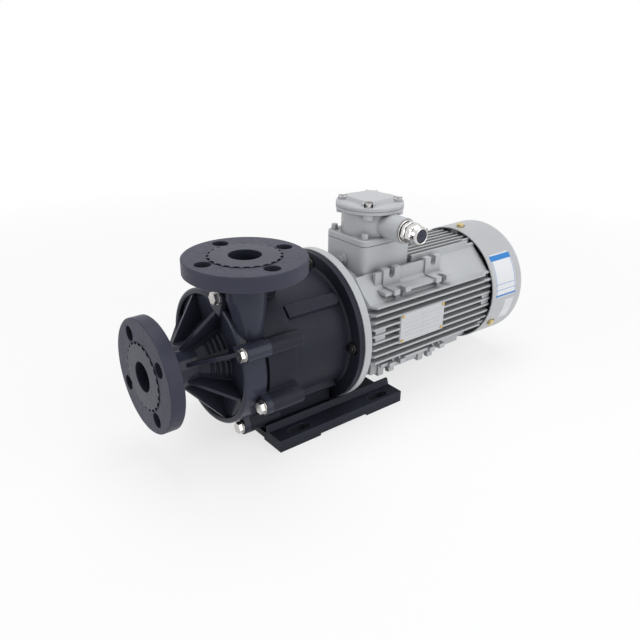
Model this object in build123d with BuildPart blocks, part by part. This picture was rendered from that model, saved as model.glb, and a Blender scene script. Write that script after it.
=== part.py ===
"""Magnetic drive pump with a flange-mounted motor, in millimetres, +Z up.

The origin is the centre of the base slots on the underside of the base plate.
The shaft line runs along X, with the suction flange at -X and the fan at +X.
"""

import math
import os

from build123d import *

os.makedirs("parts", exist_ok=True)

# Pipe connections
shaft_height = 114.5
flange_diameter = 140.0
flange_thickness = 18.0
flange_bolt_circle = 105.0
flange_bolt_count = 4
flange_hole = 19.0
flange_edge = 1.0
bore = 37.5
collar_diameter = 83.5
collar_thickness = 7.0
collar_stand = 0.8
collar_notches = 24
notch_length = 6.5
notch_depth = 2.5
suction_turn = 58.6
split_gap = 0.3
flange_seat_clearance = 0.35
suction_face_x = -238.0
discharge_x = -131.0
discharge_y = -58.0
discharge_rise = 142.5

# Front casing
joint_x = -124.0
casing_radius = 86.0
rim_depth = 29.0
rim_width = 8.0
rim_round = 3.5
dish_depth = 6.0
casing_wall = 5.0
neck_radius = 27.0
cone_start_x = -177.0
cone_radius = 47.0
pipe_radius = 23.3
pipe_wall = 3.0
taper_start = 30.0
taper_end = 92.0
rib_count = 8
rib_thickness = 4.5
rib_start_x = -195.0
rib_end_radius = 78.0
arc_rib_radii = (34.5, 38.0, 41.5, 45.0)
arc_rib_height = 2.0
arc_rib_thickness = 1.4
arc_rib_sweep = 26.0
chamber_radius = 60.0
throat_length = 24.0
throat_width = 12.0
throat_centre_x = -131.0
throat_foot_y = -58.0
throat_head_y = -65.0
bore_start = 105.0
support_radius = 10.5
support_length = 16.0
support_vanes = 3
support_vane_thickness = 4.0
support_bore_step = 1.0
support_entry = 2.0
support_socket_depth = 10.0

# Casing bolts
bolt_circle_radius = 96.5
bolt_count = 8
bolt_turn = 21.0
bolt_diameter = 8.0
bolt_flats = 13.0
bolt_head = 5.3
washer_diameter = 17.0
washer_thickness = 1.6
bolt_hole_clearance = 0.5
lug_radius = 10.5
lug_thickness = 8.0
tall_lug_length = 31.0
tall_lug_numbers = (2, 3)
insert_depth = 26.0
insert_extra = 2.0
joint_gap = 0.2

# Pump internals
pump_shaft_radius = 8.0
running_clearance = 0.05
impeller_radius = 54.0
impeller_width = 14.0
impeller_gap = 1.5
shroud_thickness = 2.5
eye_radius = 18.0
mouth_radius = 22.5
mouth_ring_thickness = 2.5
mouth_length = 9.0
liner_gap = 0.35
liner_thickness = 4.5
vane_count = 6
vane_thickness = 2.6
bush_thickness = 5.0
capsule_radius = 41.5
capsule_wall = 2.0
capsule_hub_wall = 4.0
capsule_back_gap = 5.0
magnet_count = 8
inner_magnet_thickness = 8.0
magnet_gap_angle = 5.0
shell_gap = 1.8
shell_wall = 3.2
shell_length = 62.0
shell_bottom = 6.0
shell_flange = 4.0
shell_flange_radius = 83.0
shell_register_radius = 73.6
shell_register_depth = 7.0
thrust_ring_thickness = 3.0
ring_gap = 0.4
o_ring_section = 3.5
o_ring_radius = 66.0

# Bracket between pump and motor
ring_radius = 87.0
ring_length = 40.0
drum_radius = 82.0
drum_bore = 74.0
bracket_end_x = 13.0
bracket_flange_radius = 102.6
bracket_flange_thickness = 8.0
bracket_flare = 4.0
spigot_radius = 65.0
spigot_length = 5.0
spigot_clearance = 0.05
spigot_wall = 17.0
stud_circle_radius = 89.0
stud_count = 4
stud_diameter = 8.0
stud_clearance = 0.25
stud_nut_flats = 13.0
stud_nut_height = 6.0
stud_end_rise = 2.0
stud_tap_clearance = 1.0
stud_pocket_radius = 8.2
stud_pocket_depth = 16.0
stud_recess = 3.5
bar_count = 4
bar_turn = 45.0
bar_width = 21.0
bar_height = 6.5
bar_root = 6.0
bar_taper = 14.0
bar_gap = 2.0
foot_half_width = 48.0
foot_start_x = -100.0
foot_end_x = 2.0
foot_wall = 6.0
foot_plate = 7.0
foot_boss_radius = 9.5
foot_boss_height = 18.0
foot_bolt_spacing_x = 74.0
foot_bolt_spacing_y = 62.0
foot_bolt_depth = 14.0

# Base plate
base_length = 208.0
base_half_width = 84.0
base_thickness = 16.0
base_slot_spacing_x = 136.0
base_slot_spacing_y = 144.0
base_slot_length = 32.0
base_slot_width = 12.0
rail_height = 24.5
rail_outer_y = 58.0
rail_inner_y = 52.5
rail_lean = 3.0
floor_thickness = 12.0
low_floor_thickness = 6.0
low_floor_start_x = 4.0
base_pad_length = 64.0
base_pad_width = 37.0
base_relief = 3.0
base_bolt_recess = 6.5

# Drive end of the motor
motor_flange_radius = 104.1
motor_flange_thickness = 11.0
shoulder_x = 45.0
shoulder_front_radius = 95.0
shoulder_rear_radius = 78.0
shield_wall = 9.0
bearing_outer_radius = 26.0
bearing_inner_radius = 12.5
bearing_width = 15.0
bearing_race = 4.5
bearing_clearance = 0.25
front_bearing_x = 27.0
rear_bearing_x = 268.0
motor_shaft_radius = 12.0
shaft_extension = 50.0
shaft_passage_clearance = 0.4
rotor_shaft_radius = 16.0

# Drive magnet cup on the motor shaft
magnet_clearance = 1.6
drive_magnet_thickness = 6.0
yoke_wall = 6.0
yoke_overlap = 46.0
yoke_plate = 8.0
yoke_plate_gap = 4.0
yoke_hub_radius = 24.0
hub_length = 40.0
key_width = 8.0
key_height = 7.0
key_length = 32.0
retaining_screw_diameter = 8.0
retaining_screw_length = 20.0
retaining_washer_diameter = 20.0
retaining_washer_thickness = 2.0
shaft_end_chamfer = 1.5
key_start = 4.0
key_top_clearance = 0.5

# Motor frame
frame_end_x = 284.0
turned_length = 16.0
turned_radius = 86.0
front_body_radius = 73.0
frame_body_radius = 70.0
frame_bore = 60.0
fin_reach = 82.0
fin_count = 9
fin_pitch = 10.0
fin_thickness = 3.0
fin_bevel = 13.0
fin_bevel_rise = 24.5
diagonal_reach = 80.0
diagonal_width = 46.0
lug_positions = (83.0, 163.0)
lug_length = 31.0
lug_inner = 50.0
lug_leg = 7.0
lug_reach = 79.5
lug_slot = 10.0
lug_slot_bottom = 65.5
lug_gusset = 3.0
gusset_root = 62.0
gusset_reach = 77.0
gusset_foot = 41.0
web_start_x = 70.7
web_thickness = 4.5
web_reach = 75.5
end_block_height = 20.0
end_block_face = 80.0
end_block_spans = ((52.0, 70.0), (268.0, 284.0))
stator_length = 120.0
stator_start_x = 82.0
winding_length = 22.0
winding_thickness = 16.0
winding_gap = 3.0
winding_round = 5.0
air_gap = 0.5
rotor_radius = 38.0
rear_shield_thickness = 12.0
rear_shield_radius = 72.0
rear_shield_register = 6.0
rear_shield_dome = 4.0
fan_seat_gap = 6.0

# Fan and cowl
cowl_start_x = 283.0
cowl_end_x = 362.0
cowl_radius = 89.0
cowl_round = 17.0
cowl_draft = 1.0
cowl_sheet = 1.6
cowl_inlet_radius = 62.0
cowl_slots = 24
cowl_slot_length = 36.0
cowl_slot_width = 5.0
cowl_screw_x = 299.0
cowl_screw_count = 3
cowl_screw_diameter = 6.0
cowl_screw_clearance = 0.3
cowl_screw_slot = 7.0
cowl_screw_head = 11.0
cowl_screw_head_height = 4.0
cowl_boss_radius = 6.5
cowl_boss_root = 16.0
cowl_boss_gap = 0.3
cowl_screw_depth = 11.5
fan_start_x = 308.0
fan_radius = 72.0
fan_width = 30.0
fan_hub_radius = 18.0
fan_disc = 3.0
fan_disc_radius = 57.6
fan_blade_root = 2.0
fan_blades = 6
fan_blade_thickness = 3.0
fan_shaft_radius = 9.0

# Terminal box
box_centre_x = 105.3
box_length = 88.0
box_width = 80.0
box_corner = 10.0
box_wall = 6.0
box_pad_rise = 66.0
fin_clear_rise = 72.0
box_rear_gap = 1.0
box_seam_z = 222.6
gasket_thickness = 0.8
lid_thickness = 8.0
lid_edge = 1.5
gasket_inset = 1.0
turret_radius = 38.0
turret_top_z = 262.8
turret_wall = 5.0
cover_radius = 46.0
cover_thickness = 15.8
cover_base = 11.0
cover_edge = 2.4
cover_groove_rise = 4.0
cover_groove_width = 1.0
cover_groove_depth = 0.8
cover_pad_width = 58.0
cover_pad_taper = 32.0
cover_ear_radius = 8.4
cover_ear_height = 14.4
cover_screw_circle = 37.2
cover_screw_diameter = 6.0
cover_screw_head = 10.0
cover_screw_head_height = 4.6
cover_screw_seat = 9.4
cover_screw_pocket = 5.9
cover_screw_socket = 5.0
cover_screw_web = 0.8
cover_boss_radius = 8.0
cover_boss_drop = 7.0
cover_tap_margin = 1.0
box_screw_inset = 9.0
box_screw_diameter = 6.0
box_screw_flats = 8.0
box_screw_head = 6.0
box_screw_depth = 15.0
box_washer_radius = 5.2
box_washer_thickness = 1.0
screw_clearance = 0.3
wire_hole = 30.0
spout_z = 246.0
spout_radius = 17.0
spout_end_y = -70.0
spout_bore = 12.0
terminal_block_size = 34.0
terminal_block_height = 14.0
terminal_block_width = 12.0
terminal_block_gap = 1.0
terminal_stud_height = 8.0
terminal_stud_diameter = 5.0
terminal_stud_spacing = 10.0

# Cable gland
gland_ring_radius = 15.0
gland_ring_width = 3.0
gland_flats = 26.0
gland_hex_width = 7.0
gland_thread_radius = 11.0
gland_thread_length = 15.0
gland_nut_flats = 25.0
gland_nut_hex_width = 8.0
gland_nut_radius = 12.6
gland_nut_length = 19.0
gland_nut_round = 3.0
gland_bore = 9.0
plug_inset = 1.0

# Rating plate and earth screw
plate_length = 85.0
plate_width = 42.0
plate_corner = 2.0
plate_drop = 1.0
plate_margin = 1.0
plate_thickness = 0.8
plate_start_x = 96.0
plate_pad_depth = 10.0
rivet_length = 4.0
rivet_diameter = 3.0
rivet_head = 4.6
rivet_head_height = 1.0
rivet_inset = 3.2
rivet_clearance = 0.1
earth_screw_diameter = 6.0
earth_screw_flats = 10.0
earth_screw_head = 3.0
earth_screw_depth = 8.0
tap_bottom_gap = 1.0
earth_boss_radius = 8.0
earth_boss_height = 4.0
earth_boss_z = 198.0

# Values worked out from the driving dimensions
flange_back_x = suction_face_x + flange_thickness
discharge_top_z = shaft_height + discharge_rise
discharge_seat_z = discharge_top_z - flange_thickness
collar_radius = collar_diameter / 2
rim_front_x = joint_x - rim_depth
dish_x = rim_front_x + dish_depth
chamber_front_x = dish_x + casing_wall
shell_back_x = joint_x + shell_flange
shell_radius = capsule_radius + shell_gap + shell_wall
shell_end_x = shell_back_x + shell_length
impeller_front_x = chamber_front_x + impeller_gap
impeller_back_x = impeller_front_x + impeller_width
mouth_front_x = impeller_front_x - mouth_length
capsule_end_x = shell_end_x - shell_bottom - capsule_back_gap
drive_inner_radius = shell_radius + magnet_clearance
yoke_inner_radius = drive_inner_radius + drive_magnet_thickness
yoke_outer_radius = yoke_inner_radius + yoke_wall
yoke_plate_x = shell_end_x + yoke_plate_gap
shaft_end_x = bracket_end_x - shaft_extension
drum_start_x = shell_back_x + ring_length
motor_flange_back_x = bracket_end_x + motor_flange_thickness
frame_top_z = shaft_height + box_pad_rise
lid_bottom_z = box_seam_z + gasket_thickness
lid_top_z = lid_bottom_z + lid_thickness
cover_top_z = turret_top_z + cover_thickness
flange_front_x = bracket_end_x - bracket_flange_thickness
stud_seat_x = flange_front_x + stud_recess
plate_middle_z = shaft_height - plate_drop
fin_clear_z = shaft_height + fin_clear_rise
bolt_angles = [bolt_turn + number * 360 / bolt_count for number in range(bolt_count)]

shaft_axis = Axis((0, 0, shaft_height), (1, 0, 0))
side_plane = Plane(origin=(0, 0, shaft_height), x_dir=(1, 0, 0), z_dir=(0, -1, 0))


def across(x):
    """Plane square to the shaft at x, with its normal towards the fan."""
    return Plane(origin=(x, 0, shaft_height), x_dir=(0, 1, 0), z_dir=(1, 0, 0))


def outward(y):
    """Upright plane at y, with its normal towards -Y and X to the right."""
    return Plane(origin=(0, y, 0), x_dir=(1, 0, 0), z_dir=(0, -1, 0))


def level(z):
    """Level plane at z."""
    return Plane.XY.offset(z)


def bolt_place(number, radius=bolt_circle_radius):
    """Centre of one casing bolt on a plane square to the shaft."""
    angle = math.radians(bolt_angles[number])
    return (radius * math.cos(angle), radius * math.sin(angle))


def lug_shapes(numbers, margin=0.0):
    """Draws round lugs with square roots in the open sketch."""
    for number in numbers:
        with Locations(bolt_place(number)):
            Circle(lug_radius + margin)
        with Locations(bolt_place(number, bolt_circle_radius - lug_radius)):
            Rectangle(
                2 * (lug_radius + margin), 2 * (lug_radius + margin), rotation=bolt_angles[number]
            )


def throat_shape(y, wall=0.0):
    """Draws the throat's rounded section in the open sketch, larger by a wall all round."""
    with Locations((throat_centre_x, y)):
        RectangleRounded(
            throat_width + 2 * wall, throat_length + 2 * wall, throat_width / 2 + wall - 0.5
        )


def radial_plane(x, angle):
    """Plane at x on the shaft line that faces outward; angle 0 is +Y and 90 is up."""
    turn = math.radians(angle)
    return Plane(
        origin=(x, 0, shaft_height), x_dir=(1, 0, 0), z_dir=(0, math.cos(turn), math.sin(turn))
    )


def loose_flange(face, name):
    """Pair of half rings that clamp the pipe behind the casing's collar."""
    inward = Plane(origin=face.origin, x_dir=face.x_dir, z_dir=-face.z_dir)
    with BuildPart() as flange:
        with BuildSketch(inward):
            Circle(flange_diameter / 2)
            Circle(neck_radius + flange_seat_clearance, mode=Mode.SUBTRACT)
            with PolarLocations(flange_bolt_circle / 2, flange_bolt_count):
                Circle(flange_hole / 2, mode=Mode.SUBTRACT)
        extrude(amount=flange_thickness)
        with BuildSketch(inward):
            Circle(collar_radius + flange_seat_clearance)
        extrude(amount=collar_thickness, mode=Mode.SUBTRACT)
        rims = flange.edges().filter_by(GeomType.CIRCLE)
        outer_rims = [rim for rim in rims if abs(rim.radius - flange_diameter / 2) < 0.01]
        chamfer(outer_rims, length=flange_edge)
        with BuildSketch(inward):
            with Locations(Rotation(0, 0, 180 / flange_bolt_count)):
                Rectangle(flange_diameter + 2, split_gap)
        extrude(amount=flange_thickness, mode=Mode.SUBTRACT)
    flange.part.label = name
    export_step(flange.part, f"parts/{name}.step")
    return flange.part


suction_face = Plane(
    origin=(suction_face_x + collar_stand, 0, shaft_height),
    x_dir=(0, math.cos(math.radians(suction_turn)), math.sin(math.radians(suction_turn))),
    z_dir=(-1, 0, 0),
)
discharge_face = Plane(
    origin=(discharge_x, discharge_y, discharge_top_z - collar_stand),
    x_dir=(1, 0, 0),
    z_dir=(0, 0, 1),
)
suction_flange = loose_flange(suction_face, "suction_flange")
discharge_flange = loose_flange(discharge_face, "discharge_flange")

# Front casing: suction neck and cone, ribbed dish, rim and discharge pipe
with BuildPart() as front_casing:
    with BuildSketch(side_plane):
        with BuildLine():
            Polyline(
                (suction_face_x, 0),
                (suction_face_x, collar_radius),
                (suction_face_x + collar_thickness + collar_stand, collar_radius),
                (suction_face_x + collar_thickness + collar_stand, neck_radius),
                (cone_start_x, neck_radius),
                (dish_x, cone_radius),
                (dish_x, casing_radius - rim_width),
                (rim_front_x + rim_round, casing_radius - rim_width),
            )
            ThreePointArc(
                (rim_front_x + rim_round, casing_radius - rim_width),
                (rim_front_x, casing_radius - rim_width / 2),
                (rim_front_x + rim_round, casing_radius),
            )
            Polyline(
                (rim_front_x + rim_round, casing_radius),
                (joint_x, casing_radius),
                (joint_x, 0),
                (suction_face_x, 0),
            )
        make_face()
    revolve(axis=shaft_axis)
    rib_profile = [
        (rib_start_x, neck_radius - 1),
        (rim_front_x + 1, rib_end_radius),
        (dish_x + 1, rib_end_radius),
        (dish_x + 1, cone_radius - 1),
        (cone_start_x + 1, neck_radius - 1),
    ]
    for angle in bolt_angles:
        slope = math.radians(angle)
        rib_plane = Plane(
            origin=(0, 0, shaft_height),
            x_dir=(1, 0, 0),
            z_dir=(0, math.sin(slope), -math.cos(slope)),
        )
        with BuildSketch(rib_plane):
            with BuildLine():
                Polyline(*rib_profile, close=True)
            make_face()
        extrude(amount=rib_thickness / 2, both=True)
    cone_slope = (cone_radius - neck_radius) / (dish_x - cone_start_x)
    for radius in arc_rib_radii:
        arc_x = cone_start_x + (radius - neck_radius) / cone_slope
        for angle in bolt_angles:
            middle = angle + 180 / bolt_count
            with BuildSketch(across(arc_x + arc_rib_height)):
                with BuildLine():
                    low = math.radians(middle - arc_rib_sweep / 2)
                    high = math.radians(middle + arc_rib_sweep / 2)
                    inner = radius
                    outer = radius + arc_rib_thickness
                    centre = math.radians(middle)
                    ThreePointArc(
                        (inner * math.cos(low), inner * math.sin(low)),
                        (inner * math.cos(centre), inner * math.sin(centre)),
                        (inner * math.cos(high), inner * math.sin(high)),
                    )
                    Line(
                        (inner * math.cos(high), inner * math.sin(high)),
                        (outer * math.cos(high), outer * math.sin(high)),
                    )
                    ThreePointArc(
                        (outer * math.cos(high), outer * math.sin(high)),
                        (outer * math.cos(centre), outer * math.sin(centre)),
                        (outer * math.cos(low), outer * math.sin(low)),
                    )
                    Line(
                        (outer * math.cos(low), outer * math.sin(low)),
                        (inner * math.cos(low), inner * math.sin(low)),
                    )
                make_face()
            extrude(amount=-2 * arc_rib_height)
    with BuildSketch(across(joint_x)):
        lug_shapes(range(bolt_count))
    extrude(amount=-lug_thickness)
    with BuildSketch(across(joint_x)):
        lug_shapes(tall_lug_numbers)
    extrude(amount=-tall_lug_length)
    # Discharge pipe, widening from the throat to its collar
    with BuildSketch(level(shaft_height)):
        throat_shape(throat_head_y, pipe_wall)
    extrude(amount=taper_start)
    with BuildSketch(level(shaft_height + taper_start)):
        throat_shape(throat_head_y, pipe_wall)
    with BuildSketch(level(shaft_height + taper_end)):
        with Locations((discharge_x, discharge_y)):
            Circle(pipe_radius)
    loft()
    with BuildSketch(level(shaft_height + taper_end)):
        with Locations((discharge_x, discharge_y)):
            Circle(pipe_radius)
    extrude(amount=discharge_rise - taper_end)
    with BuildSketch(level(discharge_top_z)):
        with Locations((discharge_x, discharge_y)):
            Circle(collar_radius)
    extrude(amount=-collar_thickness - collar_stand)
    # Relief behind the joint, where the pipe stands over the bracket
    with BuildSketch(across(joint_x)):
        Circle(ring_radius + 2)
        lug_shapes(tall_lug_numbers, margin=1)
    extrude(amount=ring_length, mode=Mode.SUBTRACT)
    # Waterway: suction bore, impeller chamber, throat and discharge bore
    with BuildSketch(across(suction_face_x)):
        Circle(bore / 2)
    extrude(amount=chamber_front_x - suction_face_x, mode=Mode.SUBTRACT)
    with BuildSketch(across(mouth_front_x - impeller_gap)):
        Circle(mouth_radius + mouth_ring_thickness + liner_gap + liner_thickness)
    extrude(amount=mouth_length + impeller_gap, mode=Mode.SUBTRACT)
    with BuildSketch(across(chamber_front_x)):
        Circle(chamber_radius)
    extrude(amount=joint_x - chamber_front_x, mode=Mode.SUBTRACT)
    with BuildSketch(level(shaft_height)):
        throat_shape(throat_foot_y)
    with BuildSketch(level(shaft_height + taper_start)):
        throat_shape(throat_head_y)
    loft(mode=Mode.SUBTRACT)
    with BuildSketch(level(shaft_height + taper_start)):
        throat_shape(throat_head_y)
    with BuildSketch(level(shaft_height + bore_start)):
        with Locations((discharge_x, discharge_y)):
            Circle(bore / 2)
    loft(mode=Mode.SUBTRACT)
    with BuildSketch(level(shaft_height + bore_start)):
        with Locations((discharge_x, discharge_y)):
            Circle(bore / 2)
    extrude(amount=discharge_rise - bore_start, mode=Mode.SUBTRACT)
    # Front shaft support on three vanes in the suction bore
    support_front_x = mouth_front_x - impeller_gap - support_length
    support_bore = bore / 2 + support_bore_step
    with BuildSketch(across(support_front_x - support_entry)):
        Circle(support_bore)
    extrude(amount=support_length + support_entry, mode=Mode.SUBTRACT)
    with BuildSketch(across(support_front_x)):
        Circle(support_radius)
        with PolarLocations((support_radius + support_bore) / 2, support_vanes, start_angle=90):
            Rectangle(support_bore - support_radius + 2, support_vane_thickness)
    extrude(amount=support_length)
    with BuildSketch(across(support_front_x + support_length - support_socket_depth)):
        Circle(pump_shaft_radius + running_clearance)
    extrude(amount=support_socket_depth, mode=Mode.SUBTRACT)
    # Bolt holes through the lugs
    with BuildSketch(across(joint_x - tall_lug_length)):
        with PolarLocations(bolt_circle_radius, bolt_count, start_angle=bolt_turn):
            Circle((bolt_diameter + bolt_hole_clearance) / 2)
    extrude(amount=tall_lug_length, mode=Mode.SUBTRACT)
    # Notches round both collars
    for face in (suction_face, discharge_face):
        outer_face = face.offset(collar_stand)
        with BuildSketch(Plane(origin=outer_face.origin, x_dir=face.x_dir, z_dir=-face.z_dir)):
            with PolarLocations(collar_radius, collar_notches):
                Rectangle(2 * notch_depth, notch_length)
        extrude(amount=collar_thickness / 2, mode=Mode.SUBTRACT)
front_casing.part.label = "front_casing"
export_step(front_casing.part, "parts/front_casing.step")

# Liner ring pressed into the casing round the impeller mouth
liner_inner = mouth_radius + mouth_ring_thickness + liner_gap
with BuildPart() as casing_liner_ring:
    with BuildSketch(across(mouth_front_x - impeller_gap)):
        Circle(liner_inner + liner_thickness - running_clearance)
        Circle(liner_inner, mode=Mode.SUBTRACT)
    extrude(amount=mouth_length + impeller_gap)
casing_liner_ring.part.label = "casing_liner_ring"
export_step(casing_liner_ring.part, "parts/casing_liner_ring.step")

# Ceramic pump shaft, held at both ends and never turning
pump_shaft_start_x = support_front_x + support_length - support_socket_depth
pump_shaft_end_x = shell_end_x - shell_bottom / 2
with BuildPart() as pump_shaft:
    with BuildSketch(across(pump_shaft_start_x)):
        Circle(pump_shaft_radius)
    extrude(amount=pump_shaft_end_x - pump_shaft_start_x)
    chamfer(pump_shaft.edges().filter_by(GeomType.CIRCLE), length=0.6)
pump_shaft.part.label = "pump_shaft"
export_step(pump_shaft.part, "parts/pump_shaft.step")

# Thrust ring on the front shaft support
with BuildPart() as front_thrust_ring:
    with BuildSketch(across(support_front_x + support_length)):
        Circle(support_radius + 2)
        Circle(pump_shaft_radius + running_clearance, mode=Mode.SUBTRACT)
    extrude(amount=thrust_ring_thickness)
front_thrust_ring.part.label = "front_thrust_ring"
export_step(front_thrust_ring.part, "parts/front_thrust_ring.step")

# Rear casing: the sealed can between the two magnet rings
shell_inner_radius = shell_radius - shell_wall
with BuildPart() as rear_casing:
    with BuildSketch(side_plane):
        with BuildLine():
            Polyline(
                (joint_x, shell_inner_radius),
                (joint_x, shell_flange_radius),
                (shell_back_x, shell_flange_radius),
                (shell_back_x, shell_register_radius),
                (shell_back_x + shell_register_depth, shell_register_radius),
                (shell_back_x + shell_register_depth, shell_radius),
                (shell_end_x, shell_radius),
                (shell_end_x, 0),
                (shell_end_x - shell_bottom, 0),
                (shell_end_x - shell_bottom, shell_inner_radius),
                close=True,
            )
        make_face()
    revolve(axis=shaft_axis)
    with BuildSketch(across(shell_end_x - shell_bottom)):
        Circle(pump_shaft_radius + 5)
    extrude(amount=-capsule_back_gap / 2)
    with BuildSketch(across(shell_end_x - shell_bottom - capsule_back_gap / 2)):
        Circle(pump_shaft_radius + running_clearance)
    extrude(amount=capsule_back_gap / 2 + shell_bottom / 2, mode=Mode.SUBTRACT)
    with BuildSketch(across(joint_x)):
        Circle(o_ring_radius + o_ring_section / 2 + 0.3)
        Circle(o_ring_radius - o_ring_section / 2 - 0.3, mode=Mode.SUBTRACT)
    extrude(amount=o_ring_section, mode=Mode.SUBTRACT)
rear_casing.part.label = "rear_casing"
export_step(rear_casing.part, "parts/rear_casing.step")

# O-ring in the rear casing's groove, against the front casing
with BuildPart() as casing_o_ring:
    with BuildSketch(side_plane):
        with Locations((joint_x + o_ring_section / 2, o_ring_radius)):
            Circle(o_ring_section / 2)
    revolve(axis=shaft_axis)
casing_o_ring.part.label = "casing_o_ring"
export_step(casing_o_ring.part, "parts/casing_o_ring.step")

# Impeller: two shrouds, backward curved vanes, mouth and hub
hub_radius = pump_shaft_radius + running_clearance + bush_thickness + capsule_hub_wall
with BuildPart() as impeller:
    with BuildSketch(across(impeller_front_x)):
        Circle(impeller_radius)
        Circle(eye_radius, mode=Mode.SUBTRACT)
    extrude(amount=shroud_thickness)
    with BuildSketch(across(mouth_front_x)):
        Circle(mouth_radius)
        Circle(eye_radius, mode=Mode.SUBTRACT)
    extrude(amount=mouth_length)
    with BuildSketch(across(impeller_back_x - shroud_thickness)):
        Circle(impeller_radius)
        Circle(hub_radius + running_clearance, mode=Mode.SUBTRACT)
    extrude(amount=shroud_thickness)
    vane_middle = (eye_radius + impeller_radius) / 2
    with BuildSketch(across(impeller_front_x)):
        for number in range(vane_count):
            turn = number * 360 / vane_count
            start = Vector(eye_radius + 1, 0).rotate(Axis.Z, turn)
            middle = Vector(vane_middle, 0).rotate(Axis.Z, turn - 32)
            end = Vector(impeller_radius - 1, 0).rotate(Axis.Z, turn - 75)
            with BuildLine():
                vane_line = ThreePointArc(start, middle, end)
            trace(vane_line, line_width=vane_thickness)
    extrude(amount=impeller_width)
impeller.part.label = "impeller"
export_step(impeller.part, "parts/impeller.step")

# Wear ring on the impeller mouth
with BuildPart() as impeller_mouth_ring:
    with BuildSketch(across(mouth_front_x)):
        Circle(mouth_radius + mouth_ring_thickness)
        Circle(mouth_radius + running_clearance, mode=Mode.SUBTRACT)
    extrude(amount=mouth_length - 1)
impeller_mouth_ring.part.label = "impeller_mouth_ring"
export_step(impeller_mouth_ring.part, "parts/impeller_mouth_ring.step")

# Magnet capsule: plastic drum behind the impeller, with pockets for its magnets
bush_radius = pump_shaft_radius + running_clearance + bush_thickness
with BuildPart() as magnet_capsule:
    with BuildSketch(across(impeller_back_x)):
        Circle(capsule_radius)
    extrude(amount=capsule_end_x - impeller_back_x)
    with BuildSketch(across(impeller_back_x - shroud_thickness)):
        Circle(hub_radius)
    extrude(amount=shroud_thickness)
    with BuildSketch(across(impeller_back_x - shroud_thickness)):
        Circle(bush_radius + running_clearance)
    extrude(amount=capsule_end_x - impeller_back_x + shroud_thickness, mode=Mode.SUBTRACT)
    with BuildSketch(across(impeller_back_x + capsule_wall)):
        Circle(capsule_radius - capsule_wall)
        Circle(capsule_radius - capsule_wall - inner_magnet_thickness - 0.2, mode=Mode.SUBTRACT)
    extrude(amount=capsule_end_x - impeller_back_x - 2 * capsule_wall, mode=Mode.SUBTRACT)
magnet_capsule.part.label = "magnet_capsule"
export_step(magnet_capsule.part, "parts/magnet_capsule.step")


def magnet_ring(start_x, length, inner, outer, name):
    """Row of curved magnets round the shaft line, as separate pieces."""
    with BuildPart() as magnets:
        with BuildSketch(across(start_x)):
            Circle(outer)
            Circle(inner, mode=Mode.SUBTRACT)
            gap = 2 * math.pi * inner * magnet_gap_angle / 360
            with PolarLocations((inner + outer) / 2, magnet_count):
                Rectangle(outer - inner + 4, gap, mode=Mode.SUBTRACT)
        extrude(amount=length)
    magnets.part.label = name
    export_step(magnets.part, f"parts/{name}.step")
    return magnets.part


capsule_magnet_outer = capsule_radius - capsule_wall - running_clearance
capsule_magnets = magnet_ring(
    impeller_back_x + capsule_wall,
    capsule_end_x - impeller_back_x - 2 * capsule_wall,
    capsule_magnet_outer - inner_magnet_thickness,
    capsule_magnet_outer,
    "capsule_magnets",
)

# Carbon bush that runs on the pump shaft
with BuildPart() as shaft_bush:
    with BuildSketch(across(impeller_back_x - shroud_thickness)):
        Circle(bush_radius)
        Circle(pump_shaft_radius + running_clearance, mode=Mode.SUBTRACT)
    extrude(amount=capsule_end_x - impeller_back_x + shroud_thickness)
shaft_bush.part.label = "shaft_bush"
export_step(shaft_bush.part, "parts/shaft_bush.step")

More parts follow.
